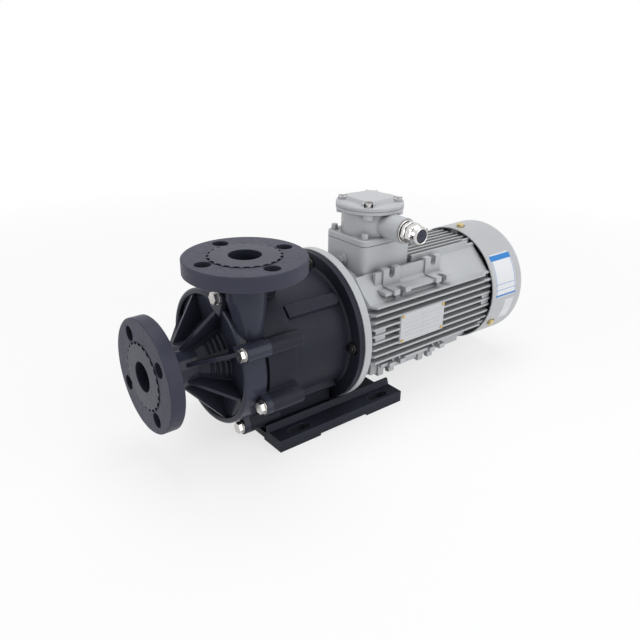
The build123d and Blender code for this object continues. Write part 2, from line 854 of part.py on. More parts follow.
# Bracket: bolted ring, drum, flare to the motor flange, and hollow foot
with BuildPart() as bracket:
    with BuildSketch(side_plane):
        with BuildLine():
            Polyline(
                (shell_back_x, 0),
                (shell_back_x, ring_radius),
                (drum_start_x, ring_radius),
                (drum_start_x + 3, drum_radius),
                (flange_front_x - bracket_flare, drum_radius),
            )
            RadiusArc(
                (flange_front_x - bracket_flare, drum_radius),
                (flange_front_x, drum_radius + bracket_flare),
                bracket_flare,
            )
            Polyline(
                (flange_front_x, drum_radius + bracket_flare),
                (flange_front_x, bracket_flange_radius),
                (bracket_end_x, bracket_flange_radius),
                (bracket_end_x, 0),
                (shell_back_x, 0),
            )
        make_face()
    revolve(axis=shaft_axis)
    with BuildSketch(across(shell_back_x)):
        lug_shapes(range(bolt_count))
    extrude(amount=ring_length)
    with BuildSketch(across(joint_x + joint_gap)):
        lug_shapes(range(bolt_count))
        Circle(shell_flange_radius + joint_gap, mode=Mode.SUBTRACT)
    extrude(amount=shell_flange)
    # Raised bars on the drum, round at the motor end
    bar_start_x = drum_start_x - 1
    bar_round_x = flange_front_x - bar_gap - bar_width / 2
    for number in range(bar_count):
        bar_plane = radial_plane(0, bar_turn + number * 360 / bar_count)
        with BuildSketch(bar_plane.offset(drum_radius - bar_root)):
            with Locations(((bar_start_x + bar_round_x) / 2, 0)):
                Rectangle(bar_round_x - bar_start_x, bar_width)
            with Locations((bar_round_x, 0)):
                Circle(bar_width / 2)
        extrude(amount=bar_root + bar_height, taper=bar_taper)
    # Foot under the drum
    foot_length = foot_end_x - foot_start_x
    foot_middle_x = (foot_end_x + foot_start_x) / 2
    with BuildSketch(level(floor_thickness)):
        with Locations((foot_middle_x, 0)):
            Rectangle(foot_length, 2 * foot_half_width)
    extrude(amount=shaft_height - floor_thickness - drum_bore + 20)
    with BuildSketch(level(floor_thickness + foot_plate)):
        with Locations((foot_middle_x, 0)):
            Rectangle(foot_length - 2 * foot_wall, 2 * foot_half_width - 2 * foot_wall)
    foot_pocket = extrude(
        amount=shaft_height - floor_thickness - foot_plate - drum_bore, mode=Mode.PRIVATE
    )
    with BuildSketch(across(foot_start_x)):
        Circle(drum_radius - 1)
    drum_core = extrude(amount=foot_length, mode=Mode.PRIVATE)
    add(foot_pocket - drum_core, mode=Mode.SUBTRACT)
    with BuildSketch(level(floor_thickness)):
        with Locations((foot_middle_x, 0)):
            with GridLocations(foot_bolt_spacing_x, foot_bolt_spacing_y, 2, 2):
                Circle(foot_boss_radius)
    extrude(amount=foot_boss_height)
    # Bores: drum, motor spigot, tapped inserts and stud pockets
    with BuildSketch(across(shell_back_x)):
        Circle(drum_bore)
    extrude(amount=flange_front_x - shell_back_x - spigot_wall / 2, mode=Mode.SUBTRACT)
    with BuildSketch(across(shell_back_x)):
        Circle(spigot_radius + spigot_clearance)
    extrude(amount=bracket_end_x - shell_back_x, mode=Mode.SUBTRACT)
    with BuildSketch(across(joint_x)):
        with PolarLocations(bolt_circle_radius, bolt_count, start_angle=bolt_turn):
            Circle(bolt_diameter / 2 + running_clearance)
    extrude(amount=shell_flange + insert_depth + insert_extra, mode=Mode.SUBTRACT)
    with BuildSketch(across(bracket_end_x)):
        with PolarLocations(stud_circle_radius, stud_count):
            Circle(stud_diameter / 2 + stud_clearance)
    extrude(amount=-bracket_flange_thickness, mode=Mode.SUBTRACT)
    with BuildSketch(across(stud_seat_x)):
        with PolarLocations(stud_circle_radius, stud_count):
            Circle(stud_pocket_radius)
    extrude(amount=-stud_pocket_depth, mode=Mode.SUBTRACT)
    with BuildSketch(level(floor_thickness)):
        with Locations((foot_middle_x, 0)):
            with GridLocations(foot_bolt_spacing_x, foot_bolt_spacing_y, 2, 2):
                Circle(bolt_diameter / 2 + running_clearance)
    extrude(amount=foot_bolt_depth + 1, mode=Mode.SUBTRACT)
bracket.part.label = "bracket"
export_step(bracket.part, "parts/bracket.step")

# Casing bolts: hex heads on washers, screwed into the bracket
with BuildPart() as casing_washers:
    for number in range(bolt_count):
        seat = tall_lug_length if number in tall_lug_numbers else lug_thickness
        with BuildSketch(across(joint_x - seat)):
            with Locations(bolt_place(number)):
                Circle(washer_diameter / 2)
                Circle(bolt_diameter / 2 + 0.2, mode=Mode.SUBTRACT)
        extrude(amount=-washer_thickness)
casing_washers.part.label = "casing_washers"
export_step(casing_washers.part, "parts/casing_washers.step")

with BuildPart() as casing_bolts:
    for number in range(bolt_count):
        seat = tall_lug_length if number in tall_lug_numbers else lug_thickness
        with BuildSketch(across(joint_x - seat - washer_thickness)):
            with Locations(bolt_place(number)):
                RegularPolygon(bolt_flats / 2, 6, major_radius=False)
        extrude(amount=-bolt_head)
        with BuildSketch(across(joint_x - seat - washer_thickness)):
            with Locations(bolt_place(number)):
                Circle(bolt_diameter / 2)
        extrude(amount=washer_thickness + seat + shell_flange + insert_depth)
casing_bolts.part.label = "casing_bolts"
export_step(casing_bolts.part, "parts/casing_bolts.step")

# Base plate: slotted side strips, leaning rails and a floor under the foot
with BuildPart() as base_plate:
    with BuildSketch(Plane.YZ.offset(-base_length / 2)):
        with BuildLine():
            Polyline(
                (-base_half_width, 0),
                (-base_half_width, base_thickness),
                (-rail_outer_y, base_thickness),
                (-rail_outer_y + rail_lean, rail_height),
                (-rail_inner_y, rail_height),
                (-rail_inner_y, floor_thickness),
                (rail_inner_y, floor_thickness),
                (rail_inner_y, rail_height),
                (rail_outer_y - rail_lean, rail_height),
                (rail_outer_y, base_thickness),
                (base_half_width, base_thickness),
                (base_half_width, 0),
                close=True,
            )
        make_face()
    extrude(amount=base_length)
    low_floor_length = base_length / 2 - low_floor_start_x
    with BuildSketch(level(low_floor_thickness)):
        with Locations((low_floor_start_x + low_floor_length / 2, 0)):
            Rectangle(low_floor_length, 2 * rail_inner_y)
    extrude(amount=floor_thickness - low_floor_thickness, mode=Mode.SUBTRACT)
    with BuildSketch(level(0)):
        Rectangle(base_length - 2 * base_pad_length, 2 * base_half_width)
        Rectangle(base_length, 2 * base_half_width - 2 * base_pad_width)
    extrude(amount=base_relief, mode=Mode.SUBTRACT)
    with BuildSketch(level(0)):
        with GridLocations(base_slot_spacing_x, base_slot_spacing_y, 2, 2):
            SlotOverall(base_slot_length, base_slot_width)
    extrude(amount=base_thickness, mode=Mode.SUBTRACT)
    with BuildSketch(level(0)):
        with Locations((foot_middle_x, 0)):
            with GridLocations(foot_bolt_spacing_x, foot_bolt_spacing_y, 2, 2):
                Circle(bolt_diameter / 2 + bolt_hole_clearance)
    extrude(amount=floor_thickness, mode=Mode.SUBTRACT)
    with BuildSketch(level(0)):
        with Locations((foot_middle_x, 0)):
            with GridLocations(foot_bolt_spacing_x, foot_bolt_spacing_y, 2, 2):
                Circle(washer_diameter / 2 + 0.5)
    extrude(amount=base_bolt_recess, mode=Mode.SUBTRACT)
base_plate.part.label = "base_plate"
export_step(base_plate.part, "parts/base_plate.step")

# Screws from below, through the floor into the foot
with BuildPart() as base_bolts:
    with BuildSketch(level(base_bolt_recess)):
        with Locations((foot_middle_x, 0)):
            with GridLocations(foot_bolt_spacing_x, foot_bolt_spacing_y, 2, 2):
                Circle(bolt_flats / 2)
    extrude(amount=-bolt_head)
    with BuildSketch(level(base_bolt_recess)):
        with Locations((foot_middle_x, 0)):
            with GridLocations(foot_bolt_spacing_x, foot_bolt_spacing_y, 2, 2):
                Circle(bolt_diameter / 2)
    extrude(amount=floor_thickness - base_bolt_recess + foot_bolt_depth)
base_bolts.part.label = "base_bolts"
export_step(base_bolts.part, "parts/base_bolts.step")

# Drive end shield with the mounting flange
shield_bore = motor_shaft_radius + shaft_passage_clearance
front_bearing_end_x = front_bearing_x + bearing_width
with BuildPart() as drive_end_shield:
    with BuildSketch(side_plane):
        with BuildLine():
            Polyline(
                (bracket_end_x - spigot_length, shield_bore),
                (bracket_end_x - spigot_length, spigot_radius),
                (bracket_end_x, spigot_radius),
                (bracket_end_x, motor_flange_radius),
                (motor_flange_back_x, motor_flange_radius),
                (motor_flange_back_x, shoulder_front_radius),
                (shoulder_x, shoulder_rear_radius),
                (shoulder_x, frame_bore),
                (motor_flange_back_x, frame_bore),
                (motor_flange_back_x, bearing_outer_radius + shield_wall),
                (front_bearing_end_x, bearing_outer_radius + shield_wall),
                (front_bearing_end_x, bearing_outer_radius + running_clearance),
                (front_bearing_x, bearing_outer_radius + running_clearance),
                (front_bearing_x, shield_bore),
                close=True,
            )
        make_face()
    revolve(axis=shaft_axis)
    with BuildSketch(across(bracket_end_x)):
        with PolarLocations(stud_circle_radius, stud_count):
            Circle(stud_diameter / 2 + stud_clearance)
    extrude(amount=motor_flange_thickness, mode=Mode.SUBTRACT)
drive_end_shield.part.label = "drive_end_shield"
export_step(drive_end_shield.part, "parts/drive_end_shield.step")

# Studs through both flanges, with a nut in each pocket
with BuildPart() as flange_studs:
    stud_start_x = motor_flange_back_x - stud_tap_clearance
    stud_end_x = stud_seat_x - stud_nut_height - stud_end_rise
    with BuildSketch(across(stud_start_x)):
        with PolarLocations(stud_circle_radius, stud_count):
            Circle(stud_diameter / 2)
    extrude(amount=stud_end_x - stud_start_x)
flange_studs.part.label = "flange_studs"
export_step(flange_studs.part, "parts/flange_studs.step")

with BuildPart() as flange_nuts:
    with BuildSketch(across(stud_seat_x)):
        with PolarLocations(stud_circle_radius, stud_count):
            RegularPolygon(stud_nut_flats / 2, 6, major_radius=False)
            Circle(stud_diameter / 2 + running_clearance, mode=Mode.SUBTRACT)
    extrude(amount=-stud_nut_height)
flange_nuts.part.label = "flange_nuts"
export_step(flange_nuts.part, "parts/flange_nuts.step")

# Motor frame: finned housing with diagonal flats, foot lugs and two pads
frame_length = frame_end_x - shoulder_x
diagonal_rise = math.sqrt(2) * diagonal_reach
box_pad_start_x = box_centre_x - box_length / 2
plate_middle_x = plate_start_x + plate_length / 2
fin_places = [(number - (fin_count - 1) / 2) * fin_pitch for number in range(fin_count)]
with BuildPart() as motor_frame:
    with BuildSketch(across(shoulder_x)):
        Circle(frame_body_radius)
        with PolarLocations(diagonal_reach / 2, 4, start_angle=45):
            Rectangle(diagonal_reach, diagonal_width)
        for place in fin_places:
            with Locations((0, place)):
                Rectangle(2 * fin_reach, fin_thickness)
            with Locations((place, 0)):
                Rectangle(fin_thickness, 2 * fin_reach)
    extrude(amount=frame_length)
    # Foot lugs on the flats: slotted legs, thin webs between them and gussets
    leg_ways = ((0, -1, 0), (0, 1, 0), (0, 0, -1), (0, 0, 1))
    lug_middles = [start_x + lug_length / 2 for start_x in lug_positions]
    web_end_x = lug_positions[-1]
    for way in leg_ways:
        leg_plane = Plane(origin=(0, 0, shaft_height), x_dir=(1, 0, 0), z_dir=way).offset(lug_inner)
        with BuildSketch(leg_plane):
            for middle_x in lug_middles:
                for side in (-1, 1):
                    with Locations((middle_x, side * (lug_inner + lug_reach) / 2)):
                        Rectangle(lug_length, lug_reach - lug_inner)
        extrude(amount=lug_leg)
        with BuildSketch(leg_plane):
            for side in (-1, 1):
                with Locations(((web_start_x + web_end_x) / 2, side * (lug_inner + web_reach) / 2)):
                    Rectangle(web_end_x - web_start_x, web_reach - lug_inner)
        extrude(amount=web_thickness)
        with BuildSketch(leg_plane):
            for middle_x in lug_middles:
                for side in (-1, 1):
                    with Locations((middle_x, side * (lug_slot_bottom + lug_reach / 2))):
                        SlotOverall(lug_reach, lug_slot, rotation=90)
        extrude(amount=lug_leg, mode=Mode.SUBTRACT)
    for middle_x in lug_middles:
        for gusset_x in (middle_x - lug_slot / 2 - lug_gusset, middle_x + lug_slot / 2):
            with BuildSketch(across(gusset_x)):
                for side_y in (-1, 1):
                    for side_z in (-1, 1):
                        Polygon(
                            (side_y * gusset_root, side_z * (lug_inner + 1)),
                            (side_y * gusset_reach, side_z * (lug_inner + 1)),
                            (side_y * (diagonal_rise - gusset_foot), side_z * gusset_foot),
                            (side_y * (gusset_root - lug_leg), side_z * gusset_foot),
                            align=None,
                        )
            extrude(amount=lug_gusset)
    # Bevelled fin ends towards the pump, turned ends towards the cowl
    with BuildSketch(side_plane):
        with BuildLine():
            Polyline(
                (shoulder_x - 1, shoulder_rear_radius),
                (shoulder_x, shoulder_rear_radius),
                (shoulder_x + fin_bevel, shoulder_rear_radius + fin_bevel_rise),
                (shoulder_x + fin_bevel, 2 * fin_reach),
                (shoulder_x - 1, 2 * fin_reach),
                close=True,
            )
        make_face()
    revolve(axis=shaft_axis, mode=Mode.SUBTRACT)
    with BuildSketch(across(frame_end_x - turned_length)):
        Rectangle(4 * fin_reach, 4 * fin_reach)
        Circle(turned_radius, mode=Mode.SUBTRACT)
    extrude(amount=turned_length, mode=Mode.SUBTRACT)
    # Smooth neck in front of the terminal box, and the box's seat in place of the top fins
    with BuildSketch(across(shoulder_x)):
        Circle(front_body_radius)
    extrude(amount=box_pad_start_x - shoulder_x)
    with BuildSketch(across(shoulder_x)):
        with Locations((0, fin_reach)):
            Rectangle(2 * fin_places[-1] + fin_thickness, 2 * fin_reach)
        Circle(front_body_radius, mode=Mode.SUBTRACT)
    extrude(amount=box_pad_start_x - shoulder_x, mode=Mode.SUBTRACT)
    cleared_length = box_length + box_rear_gap
    with BuildSketch(level(fin_clear_z)):
        with Locations((box_pad_start_x + cleared_length / 2, 0)):
            Rectangle(cleared_length, 2 * fin_places[-1] + fin_thickness)
    extrude(amount=fin_reach, mode=Mode.SUBTRACT)
    with BuildSketch(level(frame_top_z)):
        with Locations((box_centre_x, 0)):
            RectangleRounded(box_length, box_width, box_corner)
    extrude(amount=-(box_pad_rise - frame_bore))
    with BuildSketch(level(frame_top_z)):
        with Locations((box_centre_x, 0)):
            Rectangle(box_length, box_width)
    extrude(amount=fin_reach, mode=Mode.SUBTRACT)
    # Blocks between the side fins at both ends
    for start_x, end_x in end_block_spans:
        with BuildSketch(across(start_x)):
            Rectangle(2 * end_block_face, end_block_height)
        extrude(amount=end_x - start_x)
    # Pad for the rating plate on the side fins
    with BuildSketch(outward(-fin_reach + plate_pad_depth)):
        with Locations((plate_middle_x, plate_middle_z)):
            Rectangle(plate_length + 2 * plate_margin, plate_width + 2 * plate_margin)
    extrude(amount=plate_pad_depth)
    # Bore, wire hole and rivet holes
    with BuildSketch(across(shoulder_x)):
        Circle(frame_bore)
    extrude(amount=frame_length, mode=Mode.SUBTRACT)
    with BuildSketch(level(frame_top_z)):
        with Locations((box_centre_x, 0)):
            Circle(wire_hole / 2)
    extrude(amount=-box_pad_rise, mode=Mode.SUBTRACT)
    plate_face_y = -fin_reach
    with BuildSketch(outward(plate_face_y)):
        with Locations((plate_middle_x, plate_middle_z)):
            with GridLocations(plate_length - 2 * rivet_inset, plate_width - 2 * rivet_inset, 2, 2):
                Circle(rivet_diameter / 2 + running_clearance)
    extrude(amount=-rivet_length, mode=Mode.SUBTRACT)
motor_frame.part.label = "motor_frame"
export_step(motor_frame.part, "parts/motor_frame.step")

# Stator core with its end windings
with BuildPart() as stator_core:
    with BuildSketch(across(stator_start_x)):
        Circle(frame_bore - running_clearance)
        Circle(rotor_radius + air_gap, mode=Mode.SUBTRACT)
    extrude(amount=stator_length)
stator_core.part.label = "stator_core"
export_step(stator_core.part, "parts/stator_core.step")

with BuildPart() as stator_windings:
    for start_x in (stator_start_x - winding_length, stator_start_x + stator_length):
        with BuildSketch(across(start_x)):
            Circle(rotor_radius + winding_gap + winding_thickness)
            Circle(rotor_radius + winding_gap, mode=Mode.SUBTRACT)
        extrude(amount=winding_length)
    free_edges = stator_windings.edges().filter_by(GeomType.CIRCLE).group_by(Axis.X)
    fillet(free_edges[0] + free_edges[-1], radius=winding_round)
stator_windings.part.label = "stator_windings"
export_step(stator_windings.part, "parts/stator_windings.step")

# Rotor core on the motor shaft
with BuildPart() as rotor_core:
    with BuildSketch(across(stator_start_x)):
        Circle(rotor_radius)
        Circle(rotor_shaft_radius + running_clearance, mode=Mode.SUBTRACT)
    extrude(amount=stator_length)
rotor_core.part.label = "rotor_core"
export_step(rotor_core.part, "parts/rotor_core.step")

# Motor shaft, stepped for the magnet cup, both bearings, the rotor and the fan
rear_bearing_end_x = rear_bearing_x + bearing_width
fan_seat_x = rear_bearing_end_x + fan_seat_gap
fan_end_x = fan_start_x + fan_width
shaft_steps = [
    (shaft_end_x, motor_shaft_radius),
    (front_bearing_x, bearing_inner_radius),
    (front_bearing_end_x, rotor_shaft_radius),
    (rear_bearing_x, bearing_inner_radius),
    (rear_bearing_end_x, motor_shaft_radius),
    (fan_seat_x, fan_shaft_radius),
    (fan_end_x, 0),
]
with BuildPart() as motor_shaft:
    outline = [(shaft_end_x, 0)]
    for (start_x, radius), (end_x, _) in zip(shaft_steps, shaft_steps[1:]):
        outline += [(start_x, radius), (end_x, radius)]
    outline.append((fan_end_x, 0))
    with BuildSketch(side_plane):
        with BuildLine():
            Polyline(*outline, close=True)
        make_face()
    revolve(axis=shaft_axis)
    front_rim = motor_shaft.edges().filter_by(GeomType.CIRCLE).group_by(Axis.X)[0]
    chamfer(front_rim, length=shaft_end_chamfer)
    key_start_x = shaft_end_x + key_start
    with BuildSketch(level(shaft_height + motor_shaft_radius)):
        with Locations((key_start_x + key_length / 2, 0)):
            RectangleRounded(key_length, key_width, key_width / 2 - 0.01)
    extrude(amount=-key_height / 2, mode=Mode.SUBTRACT)
    with BuildSketch(across(shaft_end_x)):
        Circle(retaining_screw_diameter / 2 + running_clearance)
    extrude(amount=retaining_screw_length + insert_extra, mode=Mode.SUBTRACT)
motor_shaft.part.label = "motor_shaft"
export_step(motor_shaft.part, "parts/motor_shaft.step")

with BuildPart() as shaft_key:
    with BuildSketch(level(shaft_height + motor_shaft_radius - key_height / 2)):
        with Locations((key_start_x + key_length / 2, 0)):
            RectangleRounded(
                key_length - 2 * running_clearance,
                key_width - 2 * running_clearance,
                key_width / 2 - 0.1,
            )
    extrude(amount=key_height - key_top_clearance)
shaft_key.part.label = "shaft_key"
export_step(shaft_key.part, "parts/shaft_key.step")

# Ball bearings, as sealed outer and inner rings
race_radius = bearing_inner_radius + bearing_race
with BuildPart() as bearing_outer_rings:
    for start_x in (front_bearing_x, rear_bearing_x):
        with BuildSketch(across(start_x)):
            Circle(bearing_outer_radius)
            Circle(race_radius + bearing_clearance, mode=Mode.SUBTRACT)
        extrude(amount=bearing_width)
bearing_outer_rings.part.label = "bearing_outer_rings"
export_step(bearing_outer_rings.part, "parts/bearing_outer_rings.step")

with BuildPart() as bearing_inner_rings:
    for start_x in (front_bearing_x, rear_bearing_x):
        with BuildSketch(across(start_x)):
            Circle(race_radius)
            Circle(bearing_inner_radius + running_clearance, mode=Mode.SUBTRACT)
        extrude(amount=bearing_width)
bearing_inner_rings.part.label = "bearing_inner_rings"
export_step(bearing_inner_rings.part, "parts/bearing_inner_rings.step")

# Magnet cup keyed to the shaft extension
yoke_front_x = yoke_plate_x - yoke_overlap
with BuildPart() as drive_magnet_yoke:
    with BuildSketch(side_plane):
        with BuildLine():
            Polyline(
                (yoke_front_x, yoke_inner_radius),
                (yoke_front_x, yoke_outer_radius),
                (yoke_plate_x + yoke_plate, yoke_outer_radius),
                (yoke_plate_x + yoke_plate, yoke_hub_radius),
                (shaft_end_x + hub_length, yoke_hub_radius),
                (shaft_end_x + hub_length, motor_shaft_radius + running_clearance),
                (yoke_plate_x, motor_shaft_radius + running_clearance),
                (yoke_plate_x, yoke_inner_radius),
                close=True,
            )
        make_face()
    revolve(axis=shaft_axis)
    with BuildSketch(across(yoke_plate_x)):
        with Locations((0, motor_shaft_radius)):
            Rectangle(key_width + 2 * running_clearance, key_height)
    extrude(amount=shaft_end_x + hub_length - yoke_plate_x, mode=Mode.SUBTRACT)
drive_magnet_yoke.part.label = "drive_magnet_yoke"
export_step(drive_magnet_yoke.part, "parts/drive_magnet_yoke.step")

drive_magnets = magnet_ring(
    yoke_front_x + 1,
    yoke_overlap - 2,
    drive_inner_radius,
    yoke_inner_radius - running_clearance,
    "drive_magnets",
)

# Screw and washer that hold the cup on the shaft end
with BuildPart() as cup_retaining_screw:
    with BuildSketch(across(shaft_end_x)):
        Circle(retaining_screw_diameter / 2)
    extrude(amount=retaining_screw_length)
    with BuildSketch(across(shaft_end_x)):
        Circle(retaining_washer_diameter / 2)
    extrude(amount=-retaining_washer_thickness)
cup_retaining_screw.part.label = "cup_retaining_screw"
export_step(cup_retaining_screw.part, "parts/cup_retaining_screw.step")

# Fan end shield, with bosses for the cowl screws
rear_shield_end_x = frame_end_x + rear_shield_thickness
shield_register_x = frame_end_x - rear_shield_register
shield_bore_radius = motor_shaft_radius + shaft_passage_clearance
cowl_bore = cowl_radius - cowl_sheet
cowl_screw_angles = [90 + number * 360 / cowl_screw_count for number in range(cowl_screw_count)]
with BuildPart() as fan_end_shield:
    with BuildSketch(side_plane):
        with BuildLine():
            Polyline(
                (shield_register_x, bearing_outer_radius + shield_wall),
                (shield_register_x, frame_bore - running_clearance),
                (frame_end_x, frame_bore - running_clearance),
                (frame_end_x, rear_shield_radius),
                (rear_shield_end_x, rear_shield_radius),
                (rear_shield_end_x + rear_shield_dome, shield_bore_radius),
                (rear_bearing_end_x, shield_bore_radius),
                (rear_bearing_end_x, bearing_outer_radius + running_clearance),
                (rear_bearing_x, bearing_outer_radius + running_clearance),
                (rear_bearing_x, bearing_outer_radius + shield_wall),
                close=True,
            )
        make_face()
    revolve(axis=shaft_axis)
    for angle in cowl_screw_angles:
        radial = radial_plane(cowl_screw_x, angle)
        with BuildSketch(radial.offset(rear_shield_radius - cowl_boss_root)):
            Circle(cowl_boss_radius)
            with Locations((-cowl_boss_radius, 0)):
                Rectangle(2 * cowl_boss_radius, 2 * cowl_boss_radius)
        extrude(amount=cowl_bore - rear_shield_radius + cowl_boss_root - cowl_boss_gap)
        with BuildSketch(radial.offset(cowl_bore)):
            Circle(cowl_screw_diameter / 2 + running_clearance)
        extrude(amount=-cowl_screw_depth - tap_bottom_gap, mode=Mode.SUBTRACT)
fan_end_shield.part.label = "fan_end_shield"
export_step(fan_end_shield.part, "parts/fan_end_shield.step")

# Cooling fan on the shaft end
with BuildPart() as cooling_fan:
    with BuildSketch(across(fan_start_x)):
        Circle(fan_hub_radius)
    extrude(amount=fan_width)
    with BuildSketch(across(fan_start_x)):
        Circle(fan_disc_radius)
    extrude(amount=fan_disc)
    with BuildSketch(across(fan_start_x)):
        with PolarLocations((fan_hub_radius - fan_blade_root + fan_radius) / 2, fan_blades):
            Rectangle(fan_radius - fan_hub_radius + fan_blade_root, fan_blade_thickness)
    extrude(amount=fan_width)
    with BuildSketch(across(fan_start_x)):
        Circle(fan_shaft_radius + running_clearance)
    extrude(amount=fan_width, mode=Mode.SUBTRACT)
cooling_fan.part.label = "cooling_fan"
export_step(cooling_fan.part, "parts/cooling_fan.step")

# Fan cowl: pressed sheet drum with a round rear edge and radial inlet slots
cowl_rear_radius = cowl_radius + cowl_draft
with BuildPart() as fan_cowl:
    with BuildSketch(side_plane):
        with BuildLine():
            Line((cowl_start_x, 0), (cowl_start_x, cowl_radius))
            Line((cowl_start_x, cowl_radius), (cowl_end_x - cowl_round, cowl_rear_radius))
            RadiusArc(
                (cowl_end_x - cowl_round, cowl_rear_radius),
                (cowl_end_x, cowl_rear_radius - cowl_round),
                cowl_round,
            )
            Line((cowl_end_x, cowl_rear_radius - cowl_round), (cowl_end_x, 0))
            Line((cowl_end_x, 0), (cowl_start_x, 0))
        make_face()
    revolve(axis=shaft_axis)
    cowl_mouth = fan_cowl.faces().filter_by(Axis.X).sort_by(Axis.X)[0]
    offset(amount=-cowl_sheet, openings=cowl_mouth)
    with BuildSketch(across(cowl_end_x)):
        with PolarLocations(cowl_inlet_radius - cowl_slot_length / 2, cowl_slots):
            SlotOverall(cowl_slot_length, cowl_slot_width)
    extrude(amount=-2 * cowl_sheet, mode=Mode.SUBTRACT)
    for angle in cowl_screw_angles:
        radial = radial_plane(cowl_screw_x, angle)
        with BuildSketch(radial.offset(cowl_bore - cowl_sheet)):
            with Locations((cowl_screw_slot / 2, 0)):
                SlotCenterToCenter(cowl_screw_slot, cowl_screw_diameter + 2 * cowl_screw_clearance)
        extrude(amount=4 * cowl_sheet, mode=Mode.SUBTRACT)
fan_cowl.part.label = "fan_cowl"
export_step(fan_cowl.part, "parts/fan_cowl.step")

with BuildPart() as cowl_screws:
    for angle in cowl_screw_angles:
        radial = radial_plane(cowl_screw_x, angle)
        screw_seat = radial.offset(cowl_rear_radius - cowl_draft / 2)
        with BuildSketch(screw_seat):
            Circle(cowl_screw_head / 2)
        extrude(amount=cowl_screw_head_height)
        with BuildSketch(screw_seat):
            Circle(cowl_screw_diameter / 2)
        extrude(amount=-cowl_screw_depth)
cowl_screws.part.label = "cowl_screws"
export_step(cowl_screws.part, "parts/cowl_screws.step")

# Terminal box body on the frame's pad
inner_corner = box_corner - box_wall
with BuildPart() as terminal_box:
    with BuildSketch(level(frame_top_z)):
        with Locations((box_centre_x, 0)):
            RectangleRounded(box_length, box_width, box_corner)
    extrude(amount=box_seam_z - frame_top_z)
    with BuildSketch(level(frame_top_z + box_wall)):
        with Locations((box_centre_x, 0)):
            RectangleRounded(box_length - 2 * box_wall, box_width - 2 * box_wall, inner_corner)
    extrude(amount=box_seam_z - frame_top_z - box_wall, mode=Mode.SUBTRACT)
    screw_spacing_x = box_length - 2 * box_screw_inset
    screw_spacing_y = box_width - 2 * box_screw_inset
    with BuildSketch(level(frame_top_z + box_wall)):
        with Locations((box_centre_x, 0)):
            with GridLocations(screw_spacing_x, screw_spacing_y, 2, 2):
                Circle(box_screw_diameter)
    extrude(amount=box_seam_z - frame_top_z - box_wall)
    with BuildSketch(level(box_seam_z)):
        with Locations((box_centre_x, 0)):
            with GridLocations(screw_spacing_x, screw_spacing_y, 2, 2):
                Circle(box_screw_diameter / 2 + running_clearance)
    extrude(amount=-box_screw_depth - tap_bottom_gap, mode=Mode.SUBTRACT)
    with BuildSketch(level(frame_top_z)):
        with Locations((box_centre_x, 0)):
            Circle(wire_hole / 2)
    extrude(amount=box_wall, mode=Mode.SUBTRACT)
    # Earth boss on the face towards the pump
    earth_face_x = box_pad_start_x - earth_boss_height
    with BuildSketch(across(box_pad_start_x + box_wall)):
        with Locations((0, earth_boss_z - shaft_height)):
            Circle(earth_boss_radius)
    extrude(amount=earth_face_x - box_pad_start_x - box_wall)
    with BuildSketch(across(earth_face_x)):
        with Locations((0, earth_boss_z - shaft_height)):
            Circle(earth_screw_diameter / 2 + running_clearance)
    extrude(amount=earth_screw_depth, mode=Mode.SUBTRACT)
terminal_box.part.label = "terminal_box"
export_step(terminal_box.part, "parts/terminal_box.step")

# Terminal block on the floor of the box
with BuildPart() as terminal_block:
    block_x = box_centre_x + wire_hole / 2 + terminal_block_gap + terminal_block_width / 2
    block_z = frame_top_z + box_wall
    with BuildSketch(level(block_z)):
        with Locations((block_x, 0)):
            Rectangle(terminal_block_width, terminal_block_size)
    extrude(amount=terminal_block_height)
    with BuildSketch(level(block_z + terminal_block_height)):
        with Locations((block_x, 0)):
            with GridLocations(1, terminal_stud_spacing, 1, 3):
                Circle(terminal_stud_diameter / 2)
    extrude(amount=terminal_stud_height)
terminal_block.part.label = "terminal_block"
export_step(terminal_block.part, "parts/terminal_block.step")

# Gasket between the box and its upper part
with BuildPart() as box_gasket:
    with BuildSketch(level(box_seam_z)):
        with Locations((box_centre_x, 0)):
            RectangleRounded(
                box_length - 2 * gasket_inset, box_width - 2 * gasket_inset, box_corner - gasket_inset
            )
            RectangleRounded(
                box_length - 2 * box_wall,
                box_width - 2 * box_wall,
                inner_corner,
                mode=Mode.SUBTRACT,
            )
            with GridLocations(screw_spacing_x, screw_spacing_y, 2, 2):
                Circle(box_screw_diameter / 2 + screw_clearance, mode=Mode.SUBTRACT)
    extrude(amount=gasket_thickness)
box_gasket.part.label = "box_gasket"
export_step(box_gasket.part, "parts/box_gasket.step")

